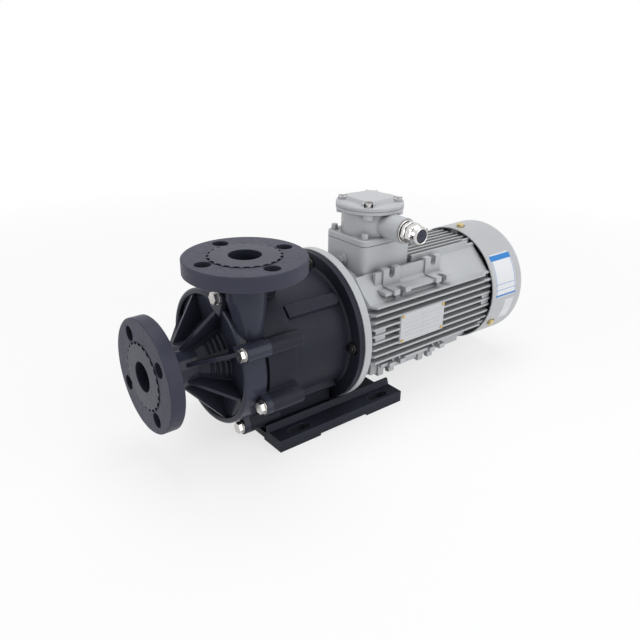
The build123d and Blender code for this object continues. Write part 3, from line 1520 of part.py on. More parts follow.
# Upper part: corner-bolted plate, round turret and cable spout
with BuildPart() as terminal_turret:
    with BuildSketch(level(lid_bottom_z)):
        with Locations((box_centre_x, 0)):
            RectangleRounded(box_length, box_width, box_corner)
    extrude(amount=lid_thickness)
    chamfer(terminal_turret.faces().sort_by(Axis.Z)[-1].edges(), length=lid_edge)
    with BuildSketch(level(lid_bottom_z)):
        with Locations((box_centre_x, 0)):
            Circle(turret_radius)
            with PolarLocations(cover_screw_circle, 4, start_angle=45):
                Circle(cover_boss_radius)
    turret_height = turret_top_z - lid_bottom_z
    extrude(amount=turret_height)
    with BuildSketch(level(lid_top_z)):
        with Locations((box_centre_x, 0)):
            with PolarLocations(cover_screw_circle, 4, start_angle=45):
                Circle(cover_boss_radius + 1)
            Circle(turret_radius, mode=Mode.SUBTRACT)
    extrude(amount=turret_height - lid_thickness - cover_boss_drop, mode=Mode.SUBTRACT)
    with BuildSketch(outward(0)):
        with Locations((box_centre_x, spout_z)):
            Circle(spout_radius)
    extrude(amount=-spout_end_y)
    with BuildSketch(level(lid_bottom_z)):
        with Locations((box_centre_x, 0)):
            Circle(turret_radius - turret_wall)
    extrude(amount=turret_height, mode=Mode.SUBTRACT)
    with BuildSketch(level(turret_top_z)):
        with Locations((box_centre_x, 0)):
            Circle(turret_radius + spout_radius)
    extrude(amount=spout_radius, mode=Mode.SUBTRACT)
    with BuildSketch(outward(0)):
        with Locations((box_centre_x, spout_z)):
            Circle(spout_bore)
    extrude(amount=-spout_end_y, mode=Mode.SUBTRACT)
    with BuildSketch(level(lid_bottom_z)):
        with Locations((box_centre_x, 0)):
            with GridLocations(screw_spacing_x, screw_spacing_y, 2, 2):
                Circle(box_screw_diameter / 2 + screw_clearance)
    extrude(amount=lid_thickness, mode=Mode.SUBTRACT)
    with BuildSketch(level(turret_top_z)):
        with Locations((box_centre_x, 0)):
            with PolarLocations(cover_screw_circle, 4, start_angle=45):
                Circle(cover_screw_diameter / 2 + running_clearance)
    extrude(amount=-cover_boss_drop + cover_tap_margin, mode=Mode.SUBTRACT)
terminal_turret.part.label = "terminal_turret"
export_step(terminal_turret.part, "parts/terminal_turret.step")

with BuildPart() as box_screws:
    with BuildSketch(level(lid_top_z)):
        with Locations((box_centre_x, 0)):
            with GridLocations(screw_spacing_x, screw_spacing_y, 2, 2):
                Circle(box_washer_radius)
    extrude(amount=box_washer_thickness)
    with BuildSketch(level(lid_top_z + box_washer_thickness)):
        with Locations((box_centre_x, 0)):
            with GridLocations(screw_spacing_x, screw_spacing_y, 2, 2):
                RegularPolygon(box_screw_flats / 2, 6, major_radius=False)
    extrude(amount=box_screw_head)
    with BuildSketch(level(lid_top_z)):
        with Locations((box_centre_x, 0)):
            with GridLocations(screw_spacing_x, screw_spacing_y, 2, 2):
                Circle(box_screw_diameter / 2)
    extrude(amount=-lid_thickness - gasket_thickness - box_screw_depth)
box_screws.part.label = "box_screws"
export_step(box_screws.part, "parts/box_screws.step")

# Round cover: grooved edge, raised square middle and open ears round the screws
cover_seat_z = turret_top_z + cover_screw_seat
with BuildPart() as terminal_cover:
    with BuildSketch(level(turret_top_z)):
        with Locations((box_centre_x, 0)):
            Circle(cover_radius)
    extrude(amount=cover_base)
    chamfer(terminal_cover.faces().sort_by(Axis.Z)[-1].edges(), length=cover_edge)
    with BuildSketch(level(turret_top_z + cover_base)):
        with Locations((box_centre_x, 0)):
            RectangleRounded(cover_pad_width, cover_pad_width, cover_ear_radius)
    extrude(amount=cover_thickness - cover_base, taper=cover_pad_taper)
    with BuildSketch(level(turret_top_z + cover_base - cover_edge)):
        with Locations((box_centre_x, 0)):
            with PolarLocations(cover_screw_circle, 4, start_angle=45):
                Circle(cover_ear_radius)
    extrude(amount=cover_ear_height - cover_base + cover_edge)
    with BuildSketch(level(turret_top_z)):
        with Locations((box_centre_x, 0)):
            Circle(turret_radius - turret_wall - 1)
    extrude(amount=cover_thickness / 2, mode=Mode.SUBTRACT)
    with BuildSketch(level(cover_seat_z)):
        with Locations((box_centre_x, 0)):
            with PolarLocations(cover_screw_circle, 4, start_angle=45):
                Circle(cover_screw_pocket)
            with PolarLocations(cover_screw_circle + cover_ear_radius, 4, start_angle=45):
                Rectangle(2 * cover_ear_radius, 2 * cover_screw_pocket)
    extrude(amount=cover_thickness, mode=Mode.SUBTRACT)
    with BuildSketch(level(turret_top_z)):
        with Locations((box_centre_x, 0)):
            with PolarLocations(cover_screw_circle, 4, start_angle=45):
                Circle(cover_screw_diameter / 2 + screw_clearance)
    extrude(amount=cover_thickness, mode=Mode.SUBTRACT)
    with BuildSketch(level(turret_top_z + cover_groove_rise)):
        with Locations((box_centre_x, 0)):
            Circle(cover_radius + 1)
            Circle(cover_radius - cover_groove_depth, mode=Mode.SUBTRACT)
    extrude(amount=cover_groove_width, mode=Mode.SUBTRACT)
terminal_cover.part.label = "terminal_cover"
export_step(terminal_cover.part, "parts/terminal_cover.step")

with BuildPart() as cover_screws:
    with BuildSketch(level(cover_seat_z)):
        with Locations((box_centre_x, 0)):
            with PolarLocations(cover_screw_circle, 4, start_angle=45):
                Circle(cover_screw_head / 2)
    extrude(amount=cover_screw_head_height)
    with BuildSketch(level(cover_seat_z + cover_screw_web)):
        with Locations((box_centre_x, 0)):
            with PolarLocations(cover_screw_circle, 4, start_angle=45):
                RegularPolygon(cover_screw_socket / 2, 6, major_radius=False)
    extrude(amount=cover_screw_head_height, mode=Mode.SUBTRACT)
    with BuildSketch(level(cover_seat_z)):
        with Locations((box_centre_x, 0)):
            with PolarLocations(cover_screw_circle, 4, start_angle=45):
                Circle(cover_screw_diameter / 2)
    extrude(amount=-cover_screw_seat - cover_boss_drop + 2 * cover_tap_margin)
cover_screws.part.label = "cover_screws"
export_step(cover_screws.part, "parts/cover_screws.step")

# Cable gland: clamp ring, hex body, dome nut and blanking plug
with BuildPart() as gland_ring:
    with BuildSketch(outward(spout_end_y)):
        with Locations((box_centre_x, spout_z)):
            Circle(gland_ring_radius)
            Circle(gland_thread_radius + running_clearance, mode=Mode.SUBTRACT)
    extrude(amount=gland_ring_width)
gland_ring.part.label = "gland_ring"
export_step(gland_ring.part, "parts/gland_ring.step")

gland_hex_y = spout_end_y - gland_ring_width
with BuildPart() as gland_body:
    with BuildSketch(outward(gland_hex_y)):
        with Locations((box_centre_x, spout_z)):
            RegularPolygon(gland_flats / 2, 6, major_radius=False)
    extrude(amount=gland_hex_width)
    with BuildSketch(outward(gland_hex_y)):
        with Locations((box_centre_x, spout_z)):
            Circle(gland_thread_radius)
    extrude(amount=-gland_thread_length)
    with BuildSketch(outward(gland_hex_y)):
        with Locations((box_centre_x, spout_z)):
            Circle(gland_bore + running_clearance)
    extrude(amount=gland_hex_width, mode=Mode.SUBTRACT)
    with BuildSketch(outward(gland_hex_y)):
        with Locations((box_centre_x, spout_z)):
            Circle(gland_bore + running_clearance)
    extrude(amount=-gland_thread_length, mode=Mode.SUBTRACT)
gland_body.part.label = "gland_body"
export_step(gland_body.part, "parts/gland_body.step")

gland_nut_y = gland_hex_y - gland_hex_width
with BuildPart() as gland_nut:
    with BuildSketch(outward(gland_nut_y)):
        with Locations((box_centre_x, spout_z)):
            Circle(gland_nut_radius)
    extrude(amount=gland_nut_length)
    nut_rims = gland_nut.edges().filter_by(GeomType.CIRCLE).sort_by(Axis.Y)
    fillet(nut_rims[0], radius=gland_nut_round)
    with BuildSketch(outward(gland_nut_y)):
        with Locations((box_centre_x, spout_z)):
            RegularPolygon(gland_nut_flats / 2, 6, major_radius=False)
    extrude(amount=gland_nut_hex_width)
    with BuildSketch(outward(gland_nut_y)):
        with Locations((box_centre_x, spout_z)):
            Circle(gland_bore + running_clearance)
    extrude(amount=gland_nut_length, mode=Mode.SUBTRACT)
gland_nut.part.label = "gland_nut"
export_step(gland_nut.part, "parts/gland_nut.step")

with BuildPart() as gland_plug:
    with BuildSketch(outward(gland_nut_y - gland_nut_length + plug_inset)):
        with Locations((box_centre_x, spout_z)):
            Circle(gland_bore)
    extrude(amount=-gland_nut_length + plug_inset - gland_hex_width)
gland_plug.part.label = "gland_plug"
export_step(gland_plug.part, "parts/gland_plug.step")

# Blank rating plate and its rivets
with BuildPart() as rating_plate:
    with BuildSketch(outward(plate_face_y)):
        with Locations((plate_middle_x, plate_middle_z)):
            RectangleRounded(plate_length, plate_width, plate_corner)
            with GridLocations(plate_length - 2 * rivet_inset, plate_width - 2 * rivet_inset, 2, 2):
                Circle(rivet_diameter / 2 + rivet_clearance, mode=Mode.SUBTRACT)
    extrude(amount=plate_thickness)
rating_plate.part.label = "rating_plate"
export_step(rating_plate.part, "parts/rating_plate.step")

with BuildPart() as plate_rivets:
    rivet_seat_y = plate_face_y - plate_thickness
    with BuildSketch(outward(rivet_seat_y)):
        with Locations((plate_middle_x, plate_middle_z)):
            with GridLocations(plate_length - 2 * rivet_inset, plate_width - 2 * rivet_inset, 2, 2):
                Circle(rivet_head / 2)
    extrude(amount=rivet_head_height)
    with BuildSketch(outward(rivet_seat_y)):
        with Locations((plate_middle_x, plate_middle_z)):
            with GridLocations(plate_length - 2 * rivet_inset, plate_width - 2 * rivet_inset, 2, 2):
                Circle(rivet_diameter / 2)
    extrude(amount=-rivet_length)
plate_rivets.part.label = "plate_rivets"
export_step(plate_rivets.part, "parts/plate_rivets.step")

# Earth screw in the boss of the terminal box
with BuildPart() as earth_screw:
    with BuildSketch(across(earth_face_x)):
        with Locations((0, earth_boss_z - shaft_height)):
            RegularPolygon(earth_screw_flats / 2, 6, major_radius=False)
    extrude(amount=-earth_screw_head)
    with BuildSketch(across(earth_face_x)):
        with Locations((0, earth_boss_z - shaft_height)):
            Circle(earth_screw_diameter / 2)
    extrude(amount=earth_screw_depth - tap_bottom_gap)
earth_screw.part.label = "earth_screw"
export_step(earth_screw.part, "parts/earth_screw.step")
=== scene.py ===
"""Finishes, labels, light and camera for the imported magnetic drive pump.

The script is laid out as an add-on. Sizes are in metres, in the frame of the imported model.
"""

import math

import bmesh
import bpy
from bpy.props import FloatProperty, FloatVectorProperty, PointerProperty
from mathutils import Matrix, Vector


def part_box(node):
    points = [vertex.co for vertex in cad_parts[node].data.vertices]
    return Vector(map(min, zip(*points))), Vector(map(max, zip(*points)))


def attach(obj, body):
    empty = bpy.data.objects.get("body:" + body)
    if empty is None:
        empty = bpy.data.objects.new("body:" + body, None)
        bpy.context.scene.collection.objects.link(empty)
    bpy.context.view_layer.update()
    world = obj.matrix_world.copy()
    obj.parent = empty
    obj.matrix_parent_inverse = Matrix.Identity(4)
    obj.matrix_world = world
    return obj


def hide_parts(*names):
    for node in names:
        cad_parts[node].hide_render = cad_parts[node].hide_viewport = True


bl_info = {
    "name": "Magnetic Drive Pump",
    "version": (1, 0, 0),
    "blender": (4, 5, 0),
    "location": "View3D > Sidebar > Pump",
    "description": "Finishes a packed magnetic drive pump and sets its light and camera",
    "category": "Object",
}

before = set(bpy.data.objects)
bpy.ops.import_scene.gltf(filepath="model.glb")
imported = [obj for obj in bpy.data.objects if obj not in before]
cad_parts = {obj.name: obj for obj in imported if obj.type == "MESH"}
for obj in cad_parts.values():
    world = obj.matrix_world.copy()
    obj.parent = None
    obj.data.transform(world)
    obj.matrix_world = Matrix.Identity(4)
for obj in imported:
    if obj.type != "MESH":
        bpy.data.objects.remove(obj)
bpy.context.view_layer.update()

MM = 0.001
SHAFT_HEIGHT = 114.5 * MM
COWL_TAPER = 1.0 * MM
COWL_TAPER_LENGTH = 62 * MM
HEXAGON_STEP = math.pi / 3
SHARP_ANGLE = math.radians(24)
# Rays to which the background and the far floor are plain white.
DIRECT_RAYS = ("Is Camera Ray", "Is Glossy Ray", "Is Transmission Ray")


# Properties


def color_property(name, description, default):
    """Colour picker without alpha."""
    return FloatVectorProperty(
        name=name, description=description, default=default, size=3, min=0, max=1, subtype="COLOR"
    )


def length_property(name, description, default):
    """Length in metres."""
    return FloatProperty(
        name=name,
        description=description,
        default=default,
        min=0,
        unit="LENGTH",
        subtype="DISTANCE",
    )


def angle_property(name, description, degrees):
    """Angle, stated in degrees and kept in radians."""
    return FloatProperty(
        name=name, description=description, default=math.radians(degrees), subtype="ANGLE"
    )


def power_property(name, description, default):
    """Power of a lamp in watts."""
    return FloatProperty(name=name, description=description, default=default, min=0, unit="POWER")


class PumpFinishes(bpy.types.PropertyGroup):
    """Colours of the pump's finishes."""

    casing: color_property("Casing", "Moulded plastic of the casing", (0.034, 0.037, 0.057))
    flanges: color_property("Flanges", "Plastic of the loose flanges", (0.043, 0.045, 0.067))
    bracket: color_property("Bracket", "Dark paint of the bracket", (0.0200, 0.0215, 0.0320))
    base: color_property("Base", "Dark paint of the base plate", (0.022, 0.024, 0.036))
    motor: color_property("Motor", "Light paint of the motor", (0.455, 0.466, 0.482))
    steel: color_property("Steel", "Bare stainless steel", (0.630, 0.615, 0.600))
    gland: color_property("Gland", "Nickel plate of the cable gland", (0.640, 0.625, 0.615))
    zinc: color_property("Zinc", "Yellow zinc of the cowl screws", (0.640, 0.500, 0.230))
    brass: color_property("Brass", "Brass rivets", (0.620, 0.450, 0.160))
    rubber: color_property("Rubber", "Rubber seals and plug", (0.030, 0.034, 0.050))
    label: color_property("Label", "Paper of the blank labels", (0.740, 0.750, 0.770))
    label_band: color_property("Label band", "Bands of the blank label", (0.012, 0.190, 0.540))
    dark_steel: color_property("Dark steel", "Oiled steel fasteners", (0.120, 0.118, 0.115))
    gasket: color_property("Gasket", "Fibre gasket under the turret", (0.170, 0.175, 0.180))
    plate: color_property("Plate", "Brushed metal of the rating plate", (0.560, 0.565, 0.585))


class PumpInnerFinishes(bpy.types.PropertyGroup):
    """Colours of the pieces inside the pump and the motor."""

    wear_ring: color_property("Wear rings", "Plastic of the mouth rings", (0.80, 0.79, 0.75))
    ceramic: color_property("Ceramic", "Pump shaft and thrust ring", (0.85, 0.84, 0.80))
    carbon: color_property("Carbon", "Bush on the pump shaft", (0.03, 0.03, 0.03))
    magnet: color_property("Magnets", "Sintered magnets", (0.12, 0.12, 0.13))
    yoke: color_property("Yoke", "Oiled iron of the drive magnet yoke", (0.20, 0.20, 0.21))
    core: color_property("Cores", "Steel of the stator and the rotor", (0.25, 0.25, 0.27))
    copper: color_property("Copper", "Windings", (0.60, 0.28, 0.12))
    fan: color_property("Fan", "Plastic of the cooling fan", (0.060, 0.065, 0.078))
    insulator: color_property("Insulator", "Terminal block", (0.30, 0.14, 0.06))


class PumpLabels(bpy.types.PropertyGroup):
    """Places and sizes of the blank labels on the fan cowl.

    Angles go round the shaft, from level on the gland side upwards.
    """

    start_x: length_property("Start", "Near edge of the label along the shaft", 0.2908)
    width: length_property("Width", "Length of the label along the shaft", 0.0455)
    low_angle: angle_property("Low angle", "Lower edge of the label", -1)
    high_angle: angle_property("High angle", "Upper edge of the label", 43)
    tag_start_x: length_property("Tag start", "Near edge of the small tag", 0.3140)
    tag_width: length_property("Tag width", "Length of the small tag along the shaft", 0.0200)
    tag_low_angle: angle_property("Tag low angle", "Lower edge of the small tag", -28)
    tag_high_angle: angle_property("Tag high angle", "Upper edge of the small tag", -5)
    thickness: length_property("Thickness", "Thickness of the paper", 0.00012)


class PumpStage(bpy.types.PropertyGroup):
    """Camera and light."""

    camera_place: FloatVectorProperty(
        name="Camera place",
        description="Where the camera stands",
        default=(-0.499458, -0.649290, 0.488447),
        size=3,
        unit="LENGTH",
        subtype="TRANSLATION",
    )
    camera_yaw: FloatProperty(
        name="Yaw", description="Turn away from +Y towards +X", default=0.677, subtype="ANGLE"
    )
    camera_pitch: FloatProperty(
        name="Pitch", description="Tilt below level", default=0.419, subtype="ANGLE"
    )
    camera_roll: FloatProperty(
        name="Roll", description="Turn about the view line", default=0.017, subtype="ANGLE"
    )
    camera_lens: FloatProperty(
        name="Lens",
        description="Focal length on a 36 mm sensor",
        default=37.387,
        min=1,
        unit="CAMERA",
    )
    left_power: power_property("Left light", "Softbox beyond the suction flange", 7.2)
    right_power: power_property("Right light", "Softbox on the gland side", 18.5)
    top_power: power_property("Top light", "Overhead softbox", 14)
    ambient: FloatProperty(
        name="Ambient", description="Strength of the room light", default=0.36, min=0
    )
    floor_glow: FloatProperty(
        name="Floor glow",
        description="Share of plain white in the floor near the pump",
        default=0.70,
        min=0,
        max=1,
    )
    floor_size: length_property("Floor size", "Side of the square floor", 12.0)


# Finishes


def shade(color, factor):
    """Colour made lighter or darker."""
    return tuple(min(channel * factor, 1.0) for channel in color)


class Finish:
    """One material under construction, with the nodes that most finishes share."""

    def __init__(self, name):
        self.material = bpy.data.materials.new(name)
        self.material.use_nodes = True
        self.tree = self.material.node_tree
        self.shader = self.tree.nodes["Principled BSDF"]
        self.coordinates = self.add("ShaderNodeTexCoord").outputs["Object"]
        self.normal = None
        self.form = None

    def add(self, kind):
        """New node."""
        return self.tree.nodes.new(kind)

    def join(self, source, target):
        """Link from an output to an input."""
        self.tree.links.new(source, target)

    def noise(self, scale, detail, roughness=0.55, stretch=None):
        """Noise in the object's own coordinates; stretch gives a scale for each axis."""
        texture = self.add("ShaderNodeTexNoise")
        texture.inputs["Scale"].default_value = scale
        texture.inputs["Detail"].default_value = detail
        texture.inputs["Roughness"].default_value = roughness
        if stretch is None:
            self.join(self.coordinates, texture.inputs["Vector"])
        else:
            mapping = self.add("ShaderNodeMapping")
            mapping.inputs["Scale"].default_value = stretch
            self.join(self.coordinates, mapping.inputs["Vector"])
            self.join(mapping.outputs["Vector"], texture.inputs["Vector"])
        return texture.outputs["Fac"]

    def spread(self, source, low, high, start=0.35, end=0.65):
        """Value from low to high as the source goes from start to end."""
        node = self.add("ShaderNodeMapRange")
        node.inputs["From Min"].default_value = start
        node.inputs["From Max"].default_value = end
        node.inputs["To Min"].default_value = low
        node.inputs["To Max"].default_value = high
        self.join(source, node.inputs["Value"])
        return node.outputs["Result"]

    def uneven(self, low, high, scale, detail):
        """Value that wanders between low and high."""
        return self.spread(self.noise(scale, detail), low, high)

    def blend(self, factor, first, second):
        """Colour between two colours; each may be a colour or an output.

        A mix node has its colour sockets at inputs 6 and 7 and at output 2.
        """
        node = self.add("ShaderNodeMix")
        node.data_type = "RGBA"
        self.join(factor, node.inputs[0])
        for value, socket in ((first, node.inputs[6]), (second, node.inputs[7])):
            if isinstance(value, bpy.types.NodeSocket):
                self.join(value, socket)
            else:
                socket.default_value = (*value, 1)
        return node.outputs[2]

    def math(self, kind, *values):
        """Sum, product or comparison of outputs and numbers."""
        node = self.add("ShaderNodeMath")
        node.operation = kind
        for value, socket in zip(values, node.inputs):
            if isinstance(value, bpy.types.NodeSocket):
                self.join(value, socket)
            else:
                socket.default_value = value
        return node.outputs[0]

    def axes(self, source):
        """The separate parts of a vector."""
        node = self.add("ShaderNodeSeparateXYZ")
        self.join(source, node.inputs["Vector"])
        return node.outputs["X"], node.outputs["Y"], node.outputs["Z"]

    def band(self, source, low, high):
        """1 where the source lies between low and high, 0 elsewhere."""
        return self.math("COMPARE", source, (low + high) / 2, (high - low) / 2)

    def any_of(self, masks):
        """1 where one of the masks is 1."""
        joined = masks[0]
        for mask in masks[1:]:
            joined = self.math("MAXIMUM", joined, mask)
        return joined

    def rounded(self, radius):
        """Rounds the look of sharp edges; gives 1 on the edges and 0 on open faces."""
        node = self.add("ShaderNodeBevel")
        node.samples = 6
        node.inputs["Radius"].default_value = radius
        self.normal = self.form = node.outputs["Normal"]
        surface = self.add("ShaderNodeNewGeometry")
        likeness = self.add("ShaderNodeVectorMath")
        likeness.operation = "DOT_PRODUCT"
        self.join(self.normal, likeness.inputs[0])
        self.join(surface.outputs["Normal"], likeness.inputs[1])
        return self.spread(likeness.outputs["Value"], low=1, high=0, start=0.80, end=0.995)

    def bump(self, height, strength, distance):
        """Adds relief on top of what is there."""
        node = self.add("ShaderNodeBump")
        node.inputs["Strength"].default_value = strength
        node.inputs["Distance"].default_value = distance
        self.join(height, node.inputs["Height"])
        if self.normal is not None:
            self.join(self.normal, node.inputs["Normal"])
        self.normal = node.outputs["Normal"]

    def grain(self, strength, distance, scale, detail):
        """Adds relief from noise."""
        self.bump(self.noise(scale, detail), strength, distance)

    def skin(self, weight, roughness):
        """Glossy skin that follows the rounded form and not the fine relief."""
        self.shader.inputs["Coat Weight"].default_value = weight
        self.shader.inputs["Coat Roughness"].default_value = roughness
        self.join(self.form, self.shader.inputs["Coat Normal"])

    def mottled(self, color, dark, light, scale, detail):
        """Colour that wanders between two shades in soft patches."""
        patches = self.uneven(0, 1, scale, detail)
        return self.blend(patches, shade(color, dark), shade(color, light))

    def overlaid(self, base, mask, share, color):
        """Covers a share of the base with a colour where the mask is 1."""
        return self.blend(self.math("MULTIPLY", mask, share), base, color)

    def painted_hollow_shade(self, base, shade_color, distance, start, end):
        """Painted shade: darkens hollows and corners, where other surfaces lie within the
        distance.
        """
        node = self.add("ShaderNodeAmbientOcclusion")
        node.samples = 8
        node.inputs["Distance"].default_value = distance
        open_surface = self.spread(node.outputs["AO"], 0, 1, start, end)
        return self.blend(open_surface, shade_color, base)

    def done(self, color, roughness, metallic=0.0, specular=0.5):
        """Sets the shader's sockets and returns the material."""
        inputs = self.shader.inputs
        if isinstance(color, bpy.types.NodeSocket):
            self.join(color, inputs["Base Color"])
        else:
            inputs["Base Color"].default_value = (*color, 1)
        if isinstance(roughness, bpy.types.NodeSocket):
            self.join(roughness, inputs["Roughness"])
        else:
            inputs["Roughness"].default_value = roughness
        inputs["Metallic"].default_value = metallic
        inputs["Specular IOR Level"].default_value = specular
        if self.normal is not None:
            self.join(self.normal, inputs["Normal"])
        return self.material


def moulded_plastic(name, color, smooth=0.32, rough=0.42, gloss=0.05, skin=0.30):
    """Fibre-filled plastic: fine grain, faint flow marks, edges paled by wear and a painted
    highlight, painted shade in hollows.
    """
    finish = Finish(name)
    edges = finish.rounded(1.1 * MM)
    base = finish.mottled(color, dark=0.95, light=1.05, scale=22, detail=4)
    flow = finish.spread(finish.noise(scale=60, detail=3, stretch=(1, 1, 0.25)), low=0, high=0.2)
    base = finish.blend(flow, base, shade(color, 1.18))
    # Pale edges: part wear, part painted highlight.
    base = finish.overlaid(base, edges, share=0.5, color=shade(color, 2.2))
    # Painted shade in hollows and corners.
    base = finish.painted_hollow_shade(base, shade(color, 0.22), distance=0.045, start=0.10, end=0.75)
    roughness = finish.uneven(smooth, rough, scale=180, detail=3)
    finish.grain(strength=0.06, distance=0.10 * MM, scale=1500, detail=2)
    finish.grain(strength=0.08, distance=0.50 * MM, scale=45, detail=2)
    finish.skin(skin, roughness=0.11)
    return finish.done(base, roughness, specular=gloss)


def dark_paint(name, color):
    """Satin dark paint on a casting: edges paled by thin paint and a painted highlight, painted
    shade in hollows.
    """
    finish = Finish(name)
    edges = finish.rounded(1.4 * MM)
    base = finish.mottled(color, dark=0.92, light=1.12, scale=11, detail=4)
    # Pale edges: part wear, part painted highlight.
    base = finish.overlaid(base, edges, share=0.6, color=shade(color, 3.4))
    # Painted shade in hollows and corners.
    base = finish.painted_hollow_shade(base, shade(color, 0.3), distance=0.040, start=0.10, end=0.75)
    roughness = finish.uneven(0.38, 0.48, scale=120, detail=4)
    finish.grain(strength=0.12, distance=0.15 * MM, scale=700, detail=3)
    finish.grain(strength=0.05, distance=0.60 * MM, scale=38, detail=2)
    return finish.done(base, roughness, specular=0.12)


def light_paint(name, color):
    """Light paint on cast aluminium: orange peel, painted shade between the fins, edges paled by
    wear and a painted highlight.
    """
    finish = Finish(name)
    edges = finish.rounded(0.9 * MM)
    base = finish.mottled(color, dark=0.96, light=1.04, scale=9, detail=4)
    # Pale edges: part wear, part painted highlight.
    base = finish.overlaid(base, edges, share=0.4, color=shade(color, 1.18))
    # Painted shade between the fins and in corners.
    base = finish.painted_hollow_shade(base, shade(color, 0.55), distance=0.016, start=0.20, end=0.85)
    roughness = finish.uneven(0.34, 0.46, scale=90, detail=3)
    finish.grain(strength=0.10, distance=0.16 * MM, scale=420, detail=2)
    finish.grain(strength=0.08, distance=0.50 * MM, scale=55, detail=3)
    return finish.done(base, roughness, specular=0.4)


def sheet_paint(name, color):
    """Light paint on pressed sheet: smoother than on a casting."""
    finish = Finish(name)
    edges = finish.rounded(0.8 * MM)
    base = finish.mottled(color, dark=0.97, light=1.03, scale=7, detail=3)
    # Pale edges: part wear, part painted highlight.
    base = finish.overlaid(base, edges, share=0.4, color=shade(color, 1.2))
    roughness = finish.uneven(0.30, 0.40, scale=60, detail=3)
    finish.grain(strength=0.06, distance=0.12 * MM, scale=380, detail=2)
    finish.grain(strength=0.10, distance=1.20 * MM, scale=12, detail=2)
    return finish.done(base, roughness, specular=0.45)


def bare_metal(name, color, roughness, grain=900, rounding=0.5 * MM):
    """Bare or plated metal with fine scratches and painted shade in its corners."""
    finish = Finish(name)
    finish.rounded(rounding)
    base = finish.mottled(color, dark=0.94, light=1.05, scale=240, detail=3)
    # Painted shade in hollows and corners.
    base = finish.painted_hollow_shade(base, shade(color, 0.35), distance=0.003, start=0.2, end=0.8)
    scratches = finish.noise(grain, detail=4, roughness=0.7)
    scratched = finish.spread(scratches, low=roughness * 0.8, high=roughness * 1.5)
    finish.grain(strength=0.05, distance=0.05 * MM, scale=grain * 1.5, detail=2)
    return finish.done(base, scratched, metallic=1.0)


def soft_rubber(name, color):
    """Dark rubber with a bloom."""
    finish = Finish(name)
    finish.rounded(0.5 * MM)
    base = finish.mottled(color, dark=0.85, light=1.3, scale=220, detail=4)
    roughness = finish.uneven(0.55, 0.75, scale=300, detail=3)
    finish.grain(strength=0.15, distance=0.08 * MM, scale=900, detail=3)
    return finish.done(base, roughness, specular=0.3)


def plain_solid(name, color, roughness, metallic=0.0):
    """Inner pieces: cloudy colour and a fine grain."""
    finish = Finish(name)
    base = finish.mottled(color, dark=0.85, light=1.15, scale=60, detail=4)
    rough = finish.uneven(roughness * 0.85, roughness * 1.15, scale=300, detail=3)
    finish.grain(strength=0.10, distance=0.08 * MM, scale=1100, detail=2)
    return finish.done(base, rough, metallic)


def ruled_plate(name, color, rows=7):
    """Brushed metal plate with a blank form: ruled rows and one column line in a margin."""
    finish = Finish(name)
    finish.rounded(0.3 * MM)
    along, _, up = finish.axes(finish.add("ShaderNodeTexCoord").outputs["Generated"])
    inside = finish.math("MULTIPLY", finish.band(along, 0.08, 0.92), finish.band(up, 0.10, 0.90))
    row = finish.math("FRACT", finish.math("MULTIPLY", up, rows))
    lines = finish.any_of([finish.band(row, 0.46, 0.54), finish.band(along, 0.497, 0.503)])
    printed = finish.math("MULTIPLY", lines, inside)
    brushing = finish.noise(scale=1600, detail=2, stretch=(0.03, 1, 1))
    bare = finish.blend(finish.spread(brushing, 0, 1), shade(color, 0.93), shade(color, 1.04))
    base = finish.overlaid(bare, printed, share=0.55, color=shade(color, 0.45))
    finish.bump(brushing, strength=0.05, distance=0.04 * MM)
    return finish.done(base, finish.spread(brushing, low=0.42, high=0.56), metallic=0.25)


def label_paper(name, paper, band, rows, columns):
    """Paper with plain bands; rows and columns give each band's edges as shares of the sheet."""
    finish = Finish(name)
    texture = finish.add("ShaderNodeUVMap")
    texture.uv_map = "sheet"
    along, up, _ = finish.axes(texture.outputs["UV"])
    masks = [finish.band(up, low, high) for low, high in rows]
    masks += [finish.band(along, low, high) for low, high in columns]
    base = finish.mottled(paper, dark=0.95, light=1, scale=500, detail=4)
    base = finish.blend(finish.any_of(masks), base, band)
    roughness = finish.uneven(0.30, 0.42, scale=300, detail=2)
    finish.grain(strength=0.05, distance=0.10 * MM, scale=250, detail=2)
    return finish.done(base, roughness)


def assign(material, *nodes):
    """Gives a finish to CAD nodes."""
    for name in nodes:
        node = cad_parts[name]
        if not node.material_slots:
            node.data.materials.append(material)
        for place in node.material_slots:
            place.material = material


# Pieces


def link_mesh(name, mesh):
    """Object for a mesh, in the scene."""
    piece = bpy.data.objects.new(name, mesh)
    bpy.context.scene.collection.objects.link(piece)
    return piece


def turned_piece(name, centre, axis, outline, steps=96):
    """Closed body round an axis.

    Each row of the outline is (distance along the axis, radius, distance of six flats or None).
    """
    side = axis.orthogonal().normalized()
    other = axis.cross(side)
    build = bmesh.new()
    rings = []
    for along, radius, flat in outline:
        ring = []
        for step in range(steps):
            angle = 2 * math.pi * step / steps
            reach = radius
            if flat is not None:
                from_flat = (angle + HEXAGON_STEP / 2) % HEXAGON_STEP - HEXAGON_STEP / 2
                reach = min(radius, flat / math.cos(from_flat))
            direction = side * math.cos(angle) + other * math.sin(angle)
            ring.append(build.verts.new(centre + axis * along + direction * reach))
        rings.append(ring)
    for first, second in zip(rings, rings[1:] + rings[:1]):
        for a, b, c, d in zip(first, first[1:] + first[:1], second[1:] + second[:1], second):
            build.faces.new((a, b, c, d)).smooth = True
    bmesh.ops.recalc_face_normals(build, faces=build.faces)
    mesh = bpy.data.meshes.new(name)
    build.to_mesh(mesh)
    build.free()
    mesh.set_sharp_from_angle(angle=SHARP_ANGLE)
    return link_mesh(name, mesh)


def cowl_radius(x):
    """Radius of the cowl's outer face at x; its open end is slightly narrower."""
    low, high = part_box("fan_cowl")
    outer = (high.z - low.z) / 2
    return outer - COWL_TAPER * max(0, (low.x + COWL_TAPER_LENGTH - x) / COWL_TAPER_LENGTH)


